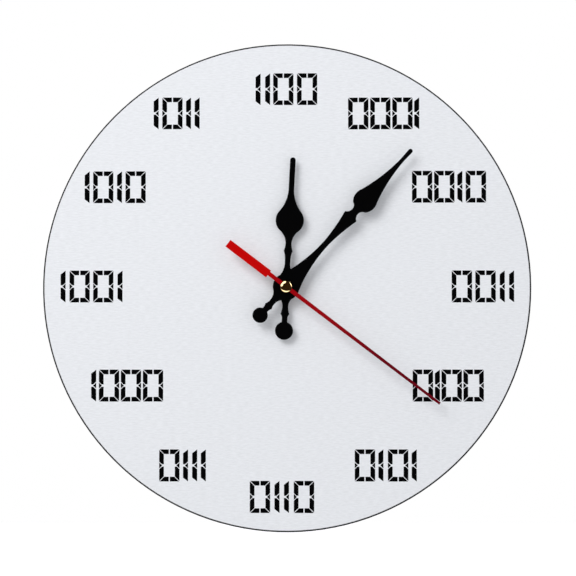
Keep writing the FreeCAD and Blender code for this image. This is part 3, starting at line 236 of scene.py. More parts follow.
def spread_about(group, texture, source, amount, middle):
    """middle + (texture - 0.5) * 2 * amount, as a node's output. middle is a socket or a number."""
    centred = math_node(group.nodes, "SUBTRACT", second=0.5)
    doubled = math_node(group.nodes, "MULTIPLY", second=2.0)
    scaled = math_node(group.nodes, "MULTIPLY")
    total = math_node(group.nodes, "ADD")
    group.links.new(texture, centred.inputs[0])
    group.links.new(centred.outputs[0], doubled.inputs[0])
    group.links.new(doubled.outputs[0], scaled.inputs[0])
    group.links.new(source.outputs[amount], scaled.inputs[1])
    group.links.new(scaled.outputs[0], total.inputs[0])
    if isinstance(middle, float):
        total.inputs[1].default_value = middle
    else:
        group.links.new(middle, total.inputs[1])
    return total.outputs[0]


def tint(group, colour_socket, factor):
    """The colour times a factor that changes over the surface."""
    scaled = group.nodes.new("ShaderNodeVectorMath")
    scaled.operation = "SCALE"
    group.links.new(colour_socket, scaled.inputs[0])
    group.links.new(factor, scaled.inputs["Scale"])
    return scaled.outputs["Vector"]


def vary_surface(group, source, result, texture, colour_spread, relief):
    """Ends a surface: colour and roughness vary with one texture, and the height is another."""
    factor = spread_about(group, texture.outputs["Fac"], source, colour_spread, 1.0)
    middle = source.outputs["Roughness"]
    rough = spread_about(group, texture.outputs["Fac"], source, "Roughness Spread", middle)
    group.links.new(tint(group, source.outputs["Color"], factor), result.inputs["Color"])
    group.links.new(rough, result.inputs["Roughness"])
    group.links.new(relief.outputs["Fac"], result.inputs["Height"])
    return group


def make_brushed_lines():
    """Fine, nearly level lines, as brushing leaves them in sheet metal."""
    numbers = {
        "Contrast": 0.05,
        "Roughness Spread": 0.05,
        "Along X": 14.0,
        "Along Y": 900.0,
        "Along Z": 900.0,
    }
    group, source, result = new_surface("Brushed Lines", (0.8, 0.8, 0.8), 0.4, numbers)
    lines = noise_node(group.nodes, 1.0, 4.0)
    lines.inputs["Roughness"].default_value = 0.65
    scaled_place(group, source, lines, ("Along X", "Along Y", "Along Z"))
    return vary_surface(group, source, result, lines, "Contrast", lines)


def make_mottling():
    """Soft patches of colour and gloss over a fine grain, as moulded, painted and turned pieces have."""
    numbers = {"Colour Spread": 0.06, "Roughness Spread": 0.06, "Patches": 120.0, "Grains": 2500.0}
    group, source, result = new_surface("Mottling", (0.5, 0.5, 0.5), 0.5, numbers)
    patches = noise_node(group.nodes, 1.0, 3.0)
    grains = noise_node(group.nodes, 1.0, 2.0)
    scaled_place(group, source, patches, ("Patches", "Patches", "Patches"))
    scaled_place(group, source, grains, ("Grains", "Grains", "Grains"))
    return vary_surface(group, source, result, patches, "Colour Spread", grains)


SURFACES = {"Brushed Lines": make_brushed_lines, "Mottling": make_mottling}


def surface_group(name):
    return bpy.data.node_groups.get(name) or SURFACES[name]()


def make_finish(name, surface, base, roughness, values=None, metallic=0.0, bump=0.0, coat=0.0, shine=0.5):
    """A material whose colour, gloss and fine relief come from one of the shared surfaces.

    base is a colour or a function that returns a colour socket. values fills the group's other inputs,
    and bump is the depth of its relief, in metres.
    """
    material = bpy.data.materials.new(name)
    material.use_nodes = True
    nodes, links = material.node_tree.nodes, material.node_tree.links
    shader = nodes["Principled BSDF"]
    shader.inputs["Metallic"].default_value = metallic
    shader.inputs["Specular IOR Level"].default_value = shine
    shader.inputs["Coat Weight"].default_value = coat
    shader.inputs["Coat Roughness"].default_value = 0.12
    group = nodes.new("ShaderNodeGroup")
    group.node_tree = surface_group(surface)
    if callable(base):
        links.new(base(material.node_tree), group.inputs["Color"])
    else:
        group.inputs["Color"].default_value = (*base, 1.0)
    group.inputs["Roughness"].default_value = roughness
    for label, number in (values or {}).items():
        group.inputs[label].default_value = number
    links.new(group.outputs["Color"], shader.inputs["Base Color"])
    links.new(group.outputs["Roughness"], shader.inputs["Roughness"])
    if bump:
        relief = nodes.new("ShaderNodeBump")
        relief.inputs["Distance"].default_value = bump
        relief.inputs["Strength"].default_value = 1.0
        links.new(group.outputs["Height"], relief.inputs["Height"])
        links.new(relief.outputs["Normal"], shader.inputs["Normal"])
    return material


def dress(material, *names):
    """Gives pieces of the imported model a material."""
    for name in names:
        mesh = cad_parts[name].data
        mesh.materials.clear()
        mesh.materials.append(material)


def blend_along(stops, direction, low, high):
    """A base for make_finish whose colours follow each other between two distances along a direction."""
    return blend_by("DOT_PRODUCT", stops, direction, low, high)


def blend_outwards(stops, middle, low, high):
    """A base for make_finish whose colours follow each other between two distances from a point."""
    return blend_by("DISTANCE", stops, middle, low, high)


def blend_by(measure, stops, other, low, high):
    """What both blends share. other is the direction or point that each place is measured against."""

    def build(tree):
        place = tree.nodes.new("ShaderNodeTexCoord")
        measured = tree.nodes.new("ShaderNodeVectorMath")
        measured.operation = measure
        measured.inputs[1].default_value = other
        ramp = tree.nodes.new("ShaderNodeMapRange")
        ramp.inputs["From Min"].default_value = low
        ramp.inputs["From Max"].default_value = high
        colours = tree.nodes.new("ShaderNodeValToRGB")
        points = colours.color_ramp.elements
        points.remove(points[1])
        points[0].color = (*stops[0][1], 1.0)
        for position, tone in stops[1:]:
            points.new(position).color = (*tone, 1.0)
        tree.links.new(place.outputs["Object"], measured.inputs[0])
        tree.links.new(measured.outputs["Value"], ramp.inputs["Value"])
        tree.links.new(ramp.outputs["Result"], colours.inputs["Fac"])
        return colours.outputs["Color"]

    return build


# ---------------------------------------------------------------- geometry trees


def new_geometry_tree(name, inputs):
    tree = bpy.data.node_groups.new(name, "GeometryNodeTree")
    tree.interface.new_socket(name="Geometry", in_out="INPUT", socket_type="NodeSocketGeometry")
    for label, kind in inputs:
        tree.interface.new_socket(name=label, in_out="INPUT", socket_type=kind)
    tree.interface.new_socket(name="Geometry", in_out="OUTPUT", socket_type="NodeSocketGeometry")
    return tree, tree.nodes.new("NodeGroupInput"), tree.nodes.new("NodeGroupOutput")


def end_tree(tree, source, result, geometry):
    """Realize Instances, then Set Material."""
    realize = tree.nodes.new("GeometryNodeRealizeInstances")
    paint = tree.nodes.new("GeometryNodeSetMaterial")
    tree.links.new(geometry, realize.inputs["Geometry"])
    tree.links.new(realize.outputs["Geometry"], paint.inputs["Geometry"])
    tree.links.new(source.outputs["Material"], paint.inputs["Material"])
    tree.links.new(paint.outputs["Geometry"], result.inputs["Geometry"])


def grow(name, tree, values, body, start=None):
    """Evaluates a tree on a start mesh and keeps the result as one plain piece on a body."""
    carrier = bpy.data.objects.new(name + "_start", start or bpy.data.meshes.new(name + "_start"))
    bpy.context.collection.objects.link(carrier)
    modifier = carrier.modifiers.new(name, "NODES")
    modifier.node_group = tree
    for item in tree.interface.items_tree:
        if item.in_out == "INPUT" and item.name in values:
            modifier[item.identifier] = values[item.name]
    bpy.context.view_layer.update()
    grown = carrier.evaluated_get(bpy.context.evaluated_depsgraph_get())
    mesh = bpy.data.meshes.new_from_object(grown)
    carrier.modifiers.remove(modifier)
    bpy.data.objects.remove(carrier)
    return add_piece(name, mesh, body)


def add_piece(name, mesh, body):
    piece = bpy.data.objects.new(name, mesh)
    bpy.context.collection.objects.link(piece)
    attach(piece, body)
    return piece


def make_figure_tree():
    """Prints a nought or a one at each point: the flat figure, raised by the ink's thickness."""
    inputs = (
        ("Nought", "NodeSocketObject"),
        ("One", "NodeSocketObject"),
        ("Ink Thickness", "NodeSocketFloat"),
        ("Material", "NodeSocketMaterial"),
    )
    tree, source, result = new_geometry_tree("Printed Figures", inputs)
    nodes, links = tree.nodes, tree.links
    is_one = nodes.new("GeometryNodeInputNamedAttribute")
    is_one.data_type = "BOOLEAN"
    is_one.inputs["Name"].default_value = "is_one"
    is_nought = nodes.new("FunctionNodeBooleanMath")
    is_nought.operation = "NOT"
    links.new(is_one.outputs["Attribute"], is_nought.inputs[0])
    joined = nodes.new("GeometryNodeJoinGeometry")
    for label, chosen in (("Nought", is_nought.outputs[0]), ("One", is_one.outputs["Attribute"])):
        figure = nodes.new("GeometryNodeObjectInfo")
        placed = nodes.new("GeometryNodeInstanceOnPoints")
        links.new(source.outputs[label], figure.inputs["Object"])
        links.new(source.outputs["Geometry"], placed.inputs["Points"])
        links.new(figure.outputs["Geometry"], placed.inputs["Instance"])
        links.new(chosen, placed.inputs["Selection"])
        links.new(placed.outputs["Instances"], joined.inputs["Geometry"])
    flat = nodes.new("GeometryNodeRealizeInstances")
    links.new(joined.outputs["Geometry"], flat.inputs["Geometry"])
    down = nodes.new("ShaderNodeCombineXYZ")
    negative = math_node(nodes, "MULTIPLY", second=-1.0)
    links.new(source.outputs["Ink Thickness"], negative.inputs[0])
    links.new(negative.outputs[0], down.inputs["Y"])
    raised = nodes.new("GeometryNodeExtrudeMesh")
    raised.inputs["Individual"].default_value = False
    raised.inputs["Offset Scale"].default_value = 1.0
    links.new(flat.outputs["Geometry"], raised.inputs["Mesh"])
    links.new(down.outputs["Vector"], raised.inputs["Offset"])
    rear = nodes.new("GeometryNodeFlipFaces")
    links.new(flat.outputs["Geometry"], rear.inputs["Mesh"])
    closed = nodes.new("GeometryNodeJoinGeometry")
    links.new(raised.outputs["Mesh"], closed.inputs["Geometry"])
    links.new(rear.outputs["Mesh"], closed.inputs["Geometry"])
    welded = nodes.new("GeometryNodeMergeByDistance")
    welded.inputs["Distance"].default_value = 1e-6
    links.new(closed.outputs["Geometry"], welded.inputs["Geometry"])
    end_tree(tree, source, result, welded.outputs["Geometry"])
    return tree


def make_rib_tree():
    """Half-round ribs round a disc that turns about an axis along Y."""
    inputs = (
        ("Count", "NodeSocketInt"),
        ("Disc Radius", "NodeSocketFloat"),
        ("Rib Radius", "NodeSocketFloat"),
        ("Rib Length", "NodeSocketFloat"),
        ("Centre", "NodeSocketVector"),
        ("Material", "NodeSocketMaterial"),
    )
    tree, source, result = new_geometry_tree("Ring Of Ribs", inputs)
    nodes, links = tree.nodes, tree.links
    ring = nodes.new("GeometryNodeCurvePrimitiveCircle")
    links.new(source.outputs["Count"], ring.inputs["Resolution"])
    links.new(source.outputs["Disc Radius"], ring.inputs["Radius"])
    rib = nodes.new("GeometryNodeMeshCylinder")
    rib.inputs["Vertices"].default_value = 8
    links.new(source.outputs["Rib Radius"], rib.inputs["Radius"])
    links.new(source.outputs["Rib Length"], rib.inputs["Depth"])
    placed = nodes.new("GeometryNodeInstanceOnPoints")
    links.new(ring.outputs["Curve"], placed.inputs["Points"])
    links.new(rib.outputs["Mesh"], placed.inputs["Instance"])
    stood = nodes.new("GeometryNodeTransform")
    stood.inputs["Rotation"].default_value = (math.radians(90), 0.0, 0.0)
    links.new(placed.outputs["Instances"], stood.inputs["Geometry"])
    links.new(source.outputs["Centre"], stood.inputs["Translation"])
    end_tree(tree, source, result, stood.outputs["Geometry"])
    return tree


def make_turns_tree():
    """A round strand wound in a helix about the tree's Z axis, which Rotation lays over."""
    inputs = (
        ("Turns", "NodeSocketFloat"),
        ("Radius", "NodeSocketFloat"),
        ("Height", "NodeSocketFloat"),
        ("Strand Radius", "NodeSocketFloat"),
        ("Rotation", "NodeSocketVector"),
        ("Centre", "NodeSocketVector"),
        ("Material", "NodeSocketMaterial"),
    )
    tree, source, result = new_geometry_tree("Helical Turns", inputs)
    nodes, links = tree.nodes, tree.links
    helix = nodes.new("GeometryNodeCurveSpiral")
    helix.inputs["Resolution"].default_value = 28
    links.new(source.outputs["Turns"], helix.inputs["Rotations"])
    links.new(source.outputs["Radius"], helix.inputs["Start Radius"])
    links.new(source.outputs["Radius"], helix.inputs["End Radius"])
    links.new(source.outputs["Height"], helix.inputs["Height"])
    section = nodes.new("GeometryNodeCurvePrimitiveCircle")
    section.inputs["Resolution"].default_value = 6
    links.new(source.outputs["Strand Radius"], section.inputs["Radius"])
    strand = nodes.new("GeometryNodeCurveToMesh")
    strand.inputs["Fill Caps"].default_value = True
    links.new(helix.outputs["Curve"], strand.inputs["Curve"])
    links.new(section.outputs["Curve"], strand.inputs["Profile Curve"])
    laid = nodes.new("GeometryNodeTransform")
    links.new(strand.outputs["Mesh"], laid.inputs["Geometry"])
    links.new(source.outputs["Rotation"], laid.inputs["Rotation"])
    links.new(source.outputs["Centre"], laid.inputs["Translation"])
    end_tree(tree, source, result, laid.outputs["Geometry"])
    return tree


# ---------------------------------------------------------------- printed figures

UPRIGHT_START = 0.75 * MM
SHOULDER_WIDTH, SHOULDER_TOP = 1.25 * MM, 2.4 * MM
NOTCH_DEPTH, NOTCH_HALF_HEIGHT = 1.9 * MM, 1.85 * MM
BAR_INNER_CUT, BAR_OUTER_CUT = 0.28 * MM, 0.25 * MM
NOUGHT_TIP_DROP, NOUGHT_INNER_DROP = 0.35 * MM, 3.1 * MM
ONE_EXTRA_WIDTH, ONE_INNER_DROP = 0.2 * MM, 2.4 * MM


def mirrored(outline, side, level):
    """An outline turned to one side and one end of a figure, still anticlockwise as seen from the front."""
    points = [(side * x, level * z) for x, z in outline]
    return points if side * level > 0 else points[::-1]


def upright_outline(outer, stroke, half_height, tip_drop, inner_drop):
    """The upper half of an upright segment, whose outer edge is at x = outer."""
    inner = outer - stroke
    return [
        (inner, UPRIGHT_START),
        (inner + SHOULDER_WIDTH, UPRIGHT_START),
        (outer, SHOULDER_TOP),
        (outer, half_height - tip_drop),
        (inner, half_height - inner_drop),
    ]


def notch_outline(outer):
    """The small triangle in the outer edge at mid height."""
    return [(outer - NOTCH_DEPTH, 0.0), (outer, -NOTCH_HALF_HEIGHT), (outer, NOTCH_HALF_HEIGHT)]


def level_outline(settings):
    """One half of a level segment at the right of the figure's top."""
    outer = settings.figure_width / 2
    top = settings.figure_height / 2
    bottom = top - settings.stroke
    near = settings.middle_gap / 2
    return [
        (near, bottom),
        (outer - settings.stroke - BAR_INNER_CUT, bottom),
        (outer - BAR_OUTER_CUT, top),
        (near, top),
    ]


def nought_outlines(settings):
    outer = settings.figure_width / 2
    half_height = settings.figure_height / 2
    upright = upright_outline(outer, settings.stroke, half_height, NOUGHT_TIP_DROP, NOUGHT_INNER_DROP)
    outlines = []
    for side in (1, -1):
        for end in (1, -1):
            outlines.append(mirrored(upright, side, end))
            outlines.append(mirrored(level_outline(settings), side, end))
        outlines.append(mirrored(notch_outline(outer), side, 1))
    return outlines


def one_outlines(settings):
    width = settings.stroke + ONE_EXTRA_WIDTH
    outer = width / 2
    upright = upright_outline(outer, width, settings.figure_height / 2, 0.0, ONE_INNER_DROP)
    return [mirrored(upright, 1, 1), mirrored(upright, 1, -1), notch_outline(outer)]


def flat_figure(name, outlines):
    """A figure as flat faces that look forward, as an object for the figure tree."""
    mesh = bpy.data.meshes.new(name)
    build = bmesh.new()
    for outline in outlines:
        build.faces.new([build.verts.new((x, 0.0, z)) for x, z in outline])
    build.to_mesh(mesh)
    build.free()
    figure = bpy.data.objects.new(name, mesh)
    bpy.context.collection.objects.link(figure)
    return figure


def number_points():
    """One point for each figure, marked where the figure is a one."""
    points = [
        (x * MM, DIAL_FACE_Y, height * MM, figure == "1")
        for figures, height, middles in HOUR_NUMBERS
        for figure, x in zip(figures, middles)
    ]
    mesh = bpy.data.meshes.new("number_points")
    mesh.from_pydata([point[:3] for point in points], [], [])
    marks = mesh.attributes.new("is_one", "BOOLEAN", "POINT")
    for mark, point in zip(marks.data, points):
        mark.value = point[3]
    return mesh


# ---------------------------------------------------------------- raised marks

ARC_STEPS = 24
WRAP_STEPS = 4


def polar_vertices(build, centre, level, places):
    """Vertices at distances and angles round a centre, in a plane that faces along Y."""
    return [
        build.verts.new((centre[0] + reach * math.cos(way), level, centre[2] + reach * math.sin(way)))
        for reach, way in places
    ]


def add_arc_arrow(build, centre, radius, half_width, start, turn, level):
    """A flat arrow bent round a centre, with its head where the turn ends."""
    rows = []
    for step in range(ARC_STEPS + 1):
        way = start + turn * step / ARC_STEPS
        edges = (radius - half_width, way), (radius + half_width, way)
        rows.append(polar_vertices(build, centre, level, edges))
    for first, second in zip(rows, rows[1:]):
        build.faces.new((first[0], first[1], second[1], second[0]))
    end = start + turn
    tip = end + 5.5 * half_width / radius
    wing = 3.2 * half_width
    head = polar_vertices(build, centre, level, ((radius - wing, end), (radius, tip), (radius + wing, end)))
    build.faces.new((rows[-1][0], *head, rows[-1][1]))
    build.normal_update()
    for face in build.faces:
        if face.normal.y < 0.0:
            face.normal_flip()


def add_wrapped_patch(build, left, right, bottom, top):
    """A patch that follows the rear of the round battery, from two distances along it and two up it."""
    centre = (BATTERY_LOW + BATTERY_HIGH) / 2
    radius = (BATTERY_HIGH[2] - BATTERY_LOW[2]) / 2 + 0.03 * MM
    rows = []
    for step in range(WRAP_STEPS + 1):
        up = bottom + (top - bottom) * step / WRAP_STEPS
        back = math.sqrt(radius**2 - up**2)
        rows.append([build.verts.new((x, centre[1] + back, centre[2] + up)) for x in (left, right)])
    for low, high in zip(rows, rows[1:]):
        build.faces.new((low[0], high[0], high[1], low[1]))


def raised_mesh(name, build, thickness, material):
    """Ends a build of flat faces: a mesh that they raise by the thickness, in the same order each time."""
    build.normal_update()
    bmesh.ops.solidify(build, geom=build.faces[:], thickness=thickness)
    bmesh.ops.recalc_face_normals(build, faces=build.faces[:])
    vertices = sorted(build.verts, key=lambda vertex: tuple(vertex.co))
    numbers = {vertex: number for number, vertex in enumerate(vertices)}
    faces = []
    for face in build.faces:
        corners = [numbers[vertex] for vertex in face.verts]
        first = corners.index(min(corners))
        faces.append(corners[first:] + corners[:first])
    mesh = bpy.data.meshes.new(name)
    mesh.from_pydata([tuple(vertex.co) for vertex in vertices], [], sorted(faces))
    build.free()
    mesh.materials.append(material)
    return mesh


# ---------------------------------------------------------------- operators


class FinishDial(bpy.types.Operator):
    """Brushed and coated face, black core and bare rear of the dial"""

    bl_idname = "clock.finish_dial"
    bl_label = "Finish Dial"

    def execute(self, context):
        settings = context.scene.clock_dial
        low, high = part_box("dial_face_skin")
        bevel_start = high.x - (high.y - low.y)
        stops = (0.0, settings.face_colour), (1.0, settings.edge_colour)
        middle = (0.0, DIAL_FACE_Y, 0.0)
        base = blend_outwards(stops, middle, bevel_start, bevel_start + SHARP_CHANGE)
        lines = {
            "Contrast": settings.line_contrast,
            "Roughness Spread": 0.06,
            "Along X": 260.0,
            "Along Z": 1300.0,
        }
        face = make_finish("coated_face", "Brushed Lines", base, 0.55, lines, bump=4 * MICRON)
        dress(face, "dial_face_skin")
        rear = make_finish(
            "bare_rear_skin", "Brushed Lines", settings.rear_colour, 0.42,
            {"Contrast": 0.12, "Roughness Spread": 0.10}, metallic=0.85, bump=4 * MICRON,
        )
        dress(rear, "dial_rear_skin")
        core = make_finish(
            "sawn_core", "Mottling", settings.core_colour, 0.7,
            {"Colour Spread": 0.15}, bump=10 * MICRON, shine=0.15,
        )
        dress(core, "dial_core")
        return {"FINISHED"}


class PrintNumbers(bpy.types.Operator):
    """The twelve hours as binary numbers, in printed seven-segment figures"""

    bl_idname = "clock.print_numbers"
    bl_label = "Print Numbers"

    def execute(self, context):
        settings = context.scene.clock_dial
        ink = make_finish(
            "printing_ink", "Mottling", settings.ink_colour, 0.5, {"Colour Spread": 0.2}, shine=0.03
        )
        nought = flat_figure("nought_shape", nought_outlines(settings))
        one = flat_figure("one_shape", one_outlines(settings))
        values = {"Nought": nought, "One": one, "Ink Thickness": settings.ink_thickness, "Material": ink}
        grow("hour_numbers", make_figure_tree(), values, MOVEMENT, number_points())
        bpy.data.objects.remove(nought)
        bpy.data.objects.remove(one)
        return {"FINISHED"}


class FinishHands(bpy.types.Operator):
    """Black hour and minute hands, red second hand, and their brass cap and bushes"""

    bl_idname = "clock.finish_hands"
    bl_label = "Finish Hands"

    def execute(self, context):
        settings = context.scene.clock_hands
        black = make_finish(
            "black_hand_paint", "Mottling", settings.black, 0.5,
            {"Colour Spread": 0.12, "Patches": 90.0, "Grains": 3000.0}, bump=2 * MICRON, shine=0.06,
        )
        dress(black, "hour_hand", "minute_hand")
        low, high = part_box("second_hand")
        along = Vector((high.x, 0.0, low.z)).normalized()
        # The red is brightest on the counterweight, darker on the thin arm and darkest at the tip, by
        # distance along the hand.
        stops = (
            (0.0, settings.red),
            (0.06, settings.arm_red),
            (0.35, settings.arm_red),
            (0.85, settings.tip_red),
        )
        reds = blend_along(stops, along, -settings.red_start, settings.red_end)
        red = make_finish(
            "red_hand_paint", "Mottling", reds, 0.5, {"Colour Spread": 0.05}, bump=2 * MICRON, shine=0.06
        )
        dress(red, "second_hand")
        low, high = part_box("second_hand_cap")
        # The cap's colour turns from polished brass to dark brown in a narrow band at its rim, so the dome
        # looks a little smaller than its shape.
        stops = (0.0, settings.cap_brass), (1.0, settings.cap_rim)
        rim = high.x - settings.rim_width
        gilding = blend_outwards(stops, (0.0, high.y, 0.0), rim, rim + settings.rim_fade)
        cap = make_finish("polished_cap", "Mottling", gilding, 0.08, {"Colour Spread": 0.04}, metallic=1.0)
        dress(cap, "second_hand_cap")
        spread = {"Colour Spread": 0.08}
        brass = make_finish("turned_brass", "Mottling", settings.brass, 0.3, spread, 1.0, 4 * MICRON)
        dress(brass, "hour_hand_bush", "minute_hand_bush", "second_hand_tube")
        return {"FINISHED"}


class FinishFixings(bpy.types.Operator):
    """Threaded bush, hexagon nut and the two washers"""

    bl_idname = "clock.finish_fixings"
    bl_label = "Finish Fixings"

    def execute(self, context):
        settings = context.scene.clock_movement
        brass = bpy.data.materials["turned_brass"]
        dress(brass, "threaded_bush", "brass_washer", "hex_nut")
        rubber = make_finish(
            "black_rubber", "Mottling", settings.rubber, 0.8, {"Grains": 1200.0}, bump=20 * MICRON
        )
        dress(rubber, "rubber_washer")
        nut_gap, end_gap = 0.05 * MM, 0.50 * MM
        height = NUT_LOW[1] - BUSH_LOW[1] - nut_gap - end_gap
        values = {
            "Turns": height / settings.thread_pitch,
            "Radius": settings.thread_radius,
            "Height": height,
            "Strand Radius": settings.ridge_radius,
            "Rotation": (math.radians(90), 0.0, 0.0),
            "Centre": (0.0, NUT_LOW[1] - nut_gap, 0.0),
            "Material": brass,
        }
        grow("bush_thread", make_turns_tree(), values, MOVEMENT)
        return {"FINISHED"}


class FinishMovement(bpy.types.Operator):
    """Case, back cover and ribbed setting knob"""

    bl_idname = "clock.finish_movement"
    bl_label = "Finish Movement"

    def execute(self, context):
        settings = context.scene.clock_movement
        grain = {"Colour Spread": 0.15, "Roughness Spread": 0.05, "Grains": 2200.0}
        case = make_finish("moulded_case", "Mottling", settings.case_colour, 0.48, grain, bump=30 * MICRON)
        dress(case, "movement_case", "back_cover")
        knob = make_finish("moulded_knob", "Mottling", settings.knob_colour, 0.38, grain, bump=10 * MICRON)
        dress(knob, "setting_knob")
        centre = (KNOB_LOW + KNOB_HIGH) / 2
        rib_end = KNOB_HIGH[1] + 0.25 * MM
        values = {
            "Count": settings.knob_ribs,
            "Disc Radius": (KNOB_HIGH[0] - KNOB_LOW[0]) / 2,
            "Rib Radius": settings.rib_radius,
            "Rib Length": settings.rib_length,
            "Centre": (centre[0], rib_end - settings.rib_length / 2, centre[2]),
            "Material": knob,
        }
        grow("knob_ribs", make_rib_tree(), values, "knob")
        worn = make_finish("worn_plastic", "Mottling", settings.worn_colour, 0.34, {"Colour Spread": 0.25})
        self.mould_arrows(centre, worn)
        return {"FINISHED"}

    def mould_arrows(self, centre, material):
        """Two arrows on the knob's end, half a turn apart."""
        radius, half_width, thickness = 4.2 * MM, 0.42 * MM, 0.30 * MM
        turn, level = math.radians(105), KNOB_HIGH[1] + 0.28 * MM
        build = bmesh.new()
        for start in (math.radians(15), math.radians(195)):
            add_arc_arrow(build, centre, radius, half_width, start, turn, level)
        arrows = raised_mesh("knob_arrows", build, thickness, material)
        add_piece("knob_arrows", arrows, "knob")


class FinishTrain(bpy.types.Operator):
    """Wheels, bridge, motor and circuit inside the case"""

    bl_idname = "clock.finish_train"
    bl_label = "Finish Train"

    def execute(self, context):
        settings = context.scene.clock_movement
        wheels = make_finish(
            "acetal_wheels", "Mottling", settings.train_colour, 0.4, {"Colour Spread": 0.04}, bump=4 * MICRON
        )
        dress(
            wheels, "rotor_pinion", "intermediate_wheel", "second_wheel", "third_wheel", "centre_wheel",
            "cannon_pinion", "minute_work_wheel", "hour_wheel", "gear_bridge", "coil_bobbin",
        )
        lines = {"Contrast": 0.10, "Along X": 200.0, "Along Y": 200.0, "Along Z": 2500.0}
        steel = make_finish("bright_steel", "Brushed Lines", settings.steel, 0.3, lines, metallic=1.0)
        dress(
            steel, "second_arbor", "stator", "coil_core", "quartz_crystal", "battery_nub", "negative_contact",
            "positive_contact",
        )
        dress(make_finish("sintered_magnet", "Mottling", settings.magnet, 0.55), "rotor_magnet")
        dress(make_finish("paper_laminate", "Mottling", settings.board, 0.5), "circuit_board")
        dress(make_finish("epoxy_blob", "Mottling", settings.blob, 0.22), "chip_blob")
        self.wind_coil(settings)
        return {"FINISHED"}

    def wind_coil(self, settings):
        copper = make_finish(
            "enamelled_wire", "Mottling", settings.copper, 0.28, {"Colour Spread": 0.1}, metallic=0.9
        )
        dress(copper, "coil_winding")
        centre = (WINDING_LOW + WINDING_HIGH) / 2
        height = WINDING_HIGH[2] - WINDING_LOW[2] - settings.wire_pitch
        values = {
            "Turns": height / settings.wire_pitch,
            "Radius": (WINDING_HIGH[0] - WINDING_LOW[0]) / 2,
            "Height": height,
            "Strand Radius": 0.5 * settings.wire_pitch,
            "Centre": (centre[0], centre[1], WINDING_LOW[2] + settings.wire_pitch / 2),
            "Material": copper,
        }
        grow("winding_turns", make_turns_tree(), values, MOVEMENT)


class FinishBattery(bpy.types.Operator):
    """Printed film round the battery, with a band at its positive end"""

    bl_idname = "clock.finish_battery"
    bl_label = "Finish Battery"

    def execute(self, context):
        settings = context.scene.clock_movement
        band_start = BATTERY_HIGH[0] - 13.0 * MM
        stops = (0.0, settings.jacket_colour), (1.0, settings.jacket_band)
        film = blend_along(stops, (1.0, 0.0, 0.0), band_start, band_start + SHARP_CHANGE)
        jacket = make_finish(
            "battery_film", "Mottling", film, 0.3, {"Colour Spread": 0.05}, metallic=0.3, coat=0.4
        )
        dress(jacket, "battery_can")
        ink = make_finish("battery_print", "Mottling", settings.battery_print, 0.4, {"Colour Spread": 0.05})
        build = bmesh.new()
        arm, half_stroke = 2.0 * MM, 0.45 * MM
        plus_x, minus_x = BATTERY_HIGH[0] - 6.5 * MM, BATTERY_LOW[0] + 6.0 * MM
        for x, half_width, bottom, top in (
            (plus_x, arm, -half_stroke, half_stroke),
            (plus_x, half_stroke, half_stroke, arm),
            (plus_x, half_stroke, -arm, -half_stroke),
            (minus_x, arm, -half_stroke, half_stroke),
        ):
            add_wrapped_patch(build, x - half_width, x + half_width, bottom, top)
        signs = raised_mesh("battery_signs", build, 0.04 * MM, ink)
        add_piece("battery_signs", signs, "battery")
        return {"FINISHED"}


# Each bright patch of the room in front: its direction, the cosines between which it rises, its brightness.
ROOM_PATCHES = (
    ((-0.42, -0.21, 0.88), 0.915, 0.95, 2.7),
    ((-0.86, -0.26, 0.42), 0.915, 0.95, 2.4),
    ((-0.11, 0.70, -0.70), 0.31, 0.40, 2.4),
    ((0.69, 0.64, 0.32), 0.63, 0.69, 5.5),
)
WARM_ROOM = (1.0, 0.55, 0.30, 1.0)
COOL_PATCHES = (0.90, 0.98, 1.23, 1.0)


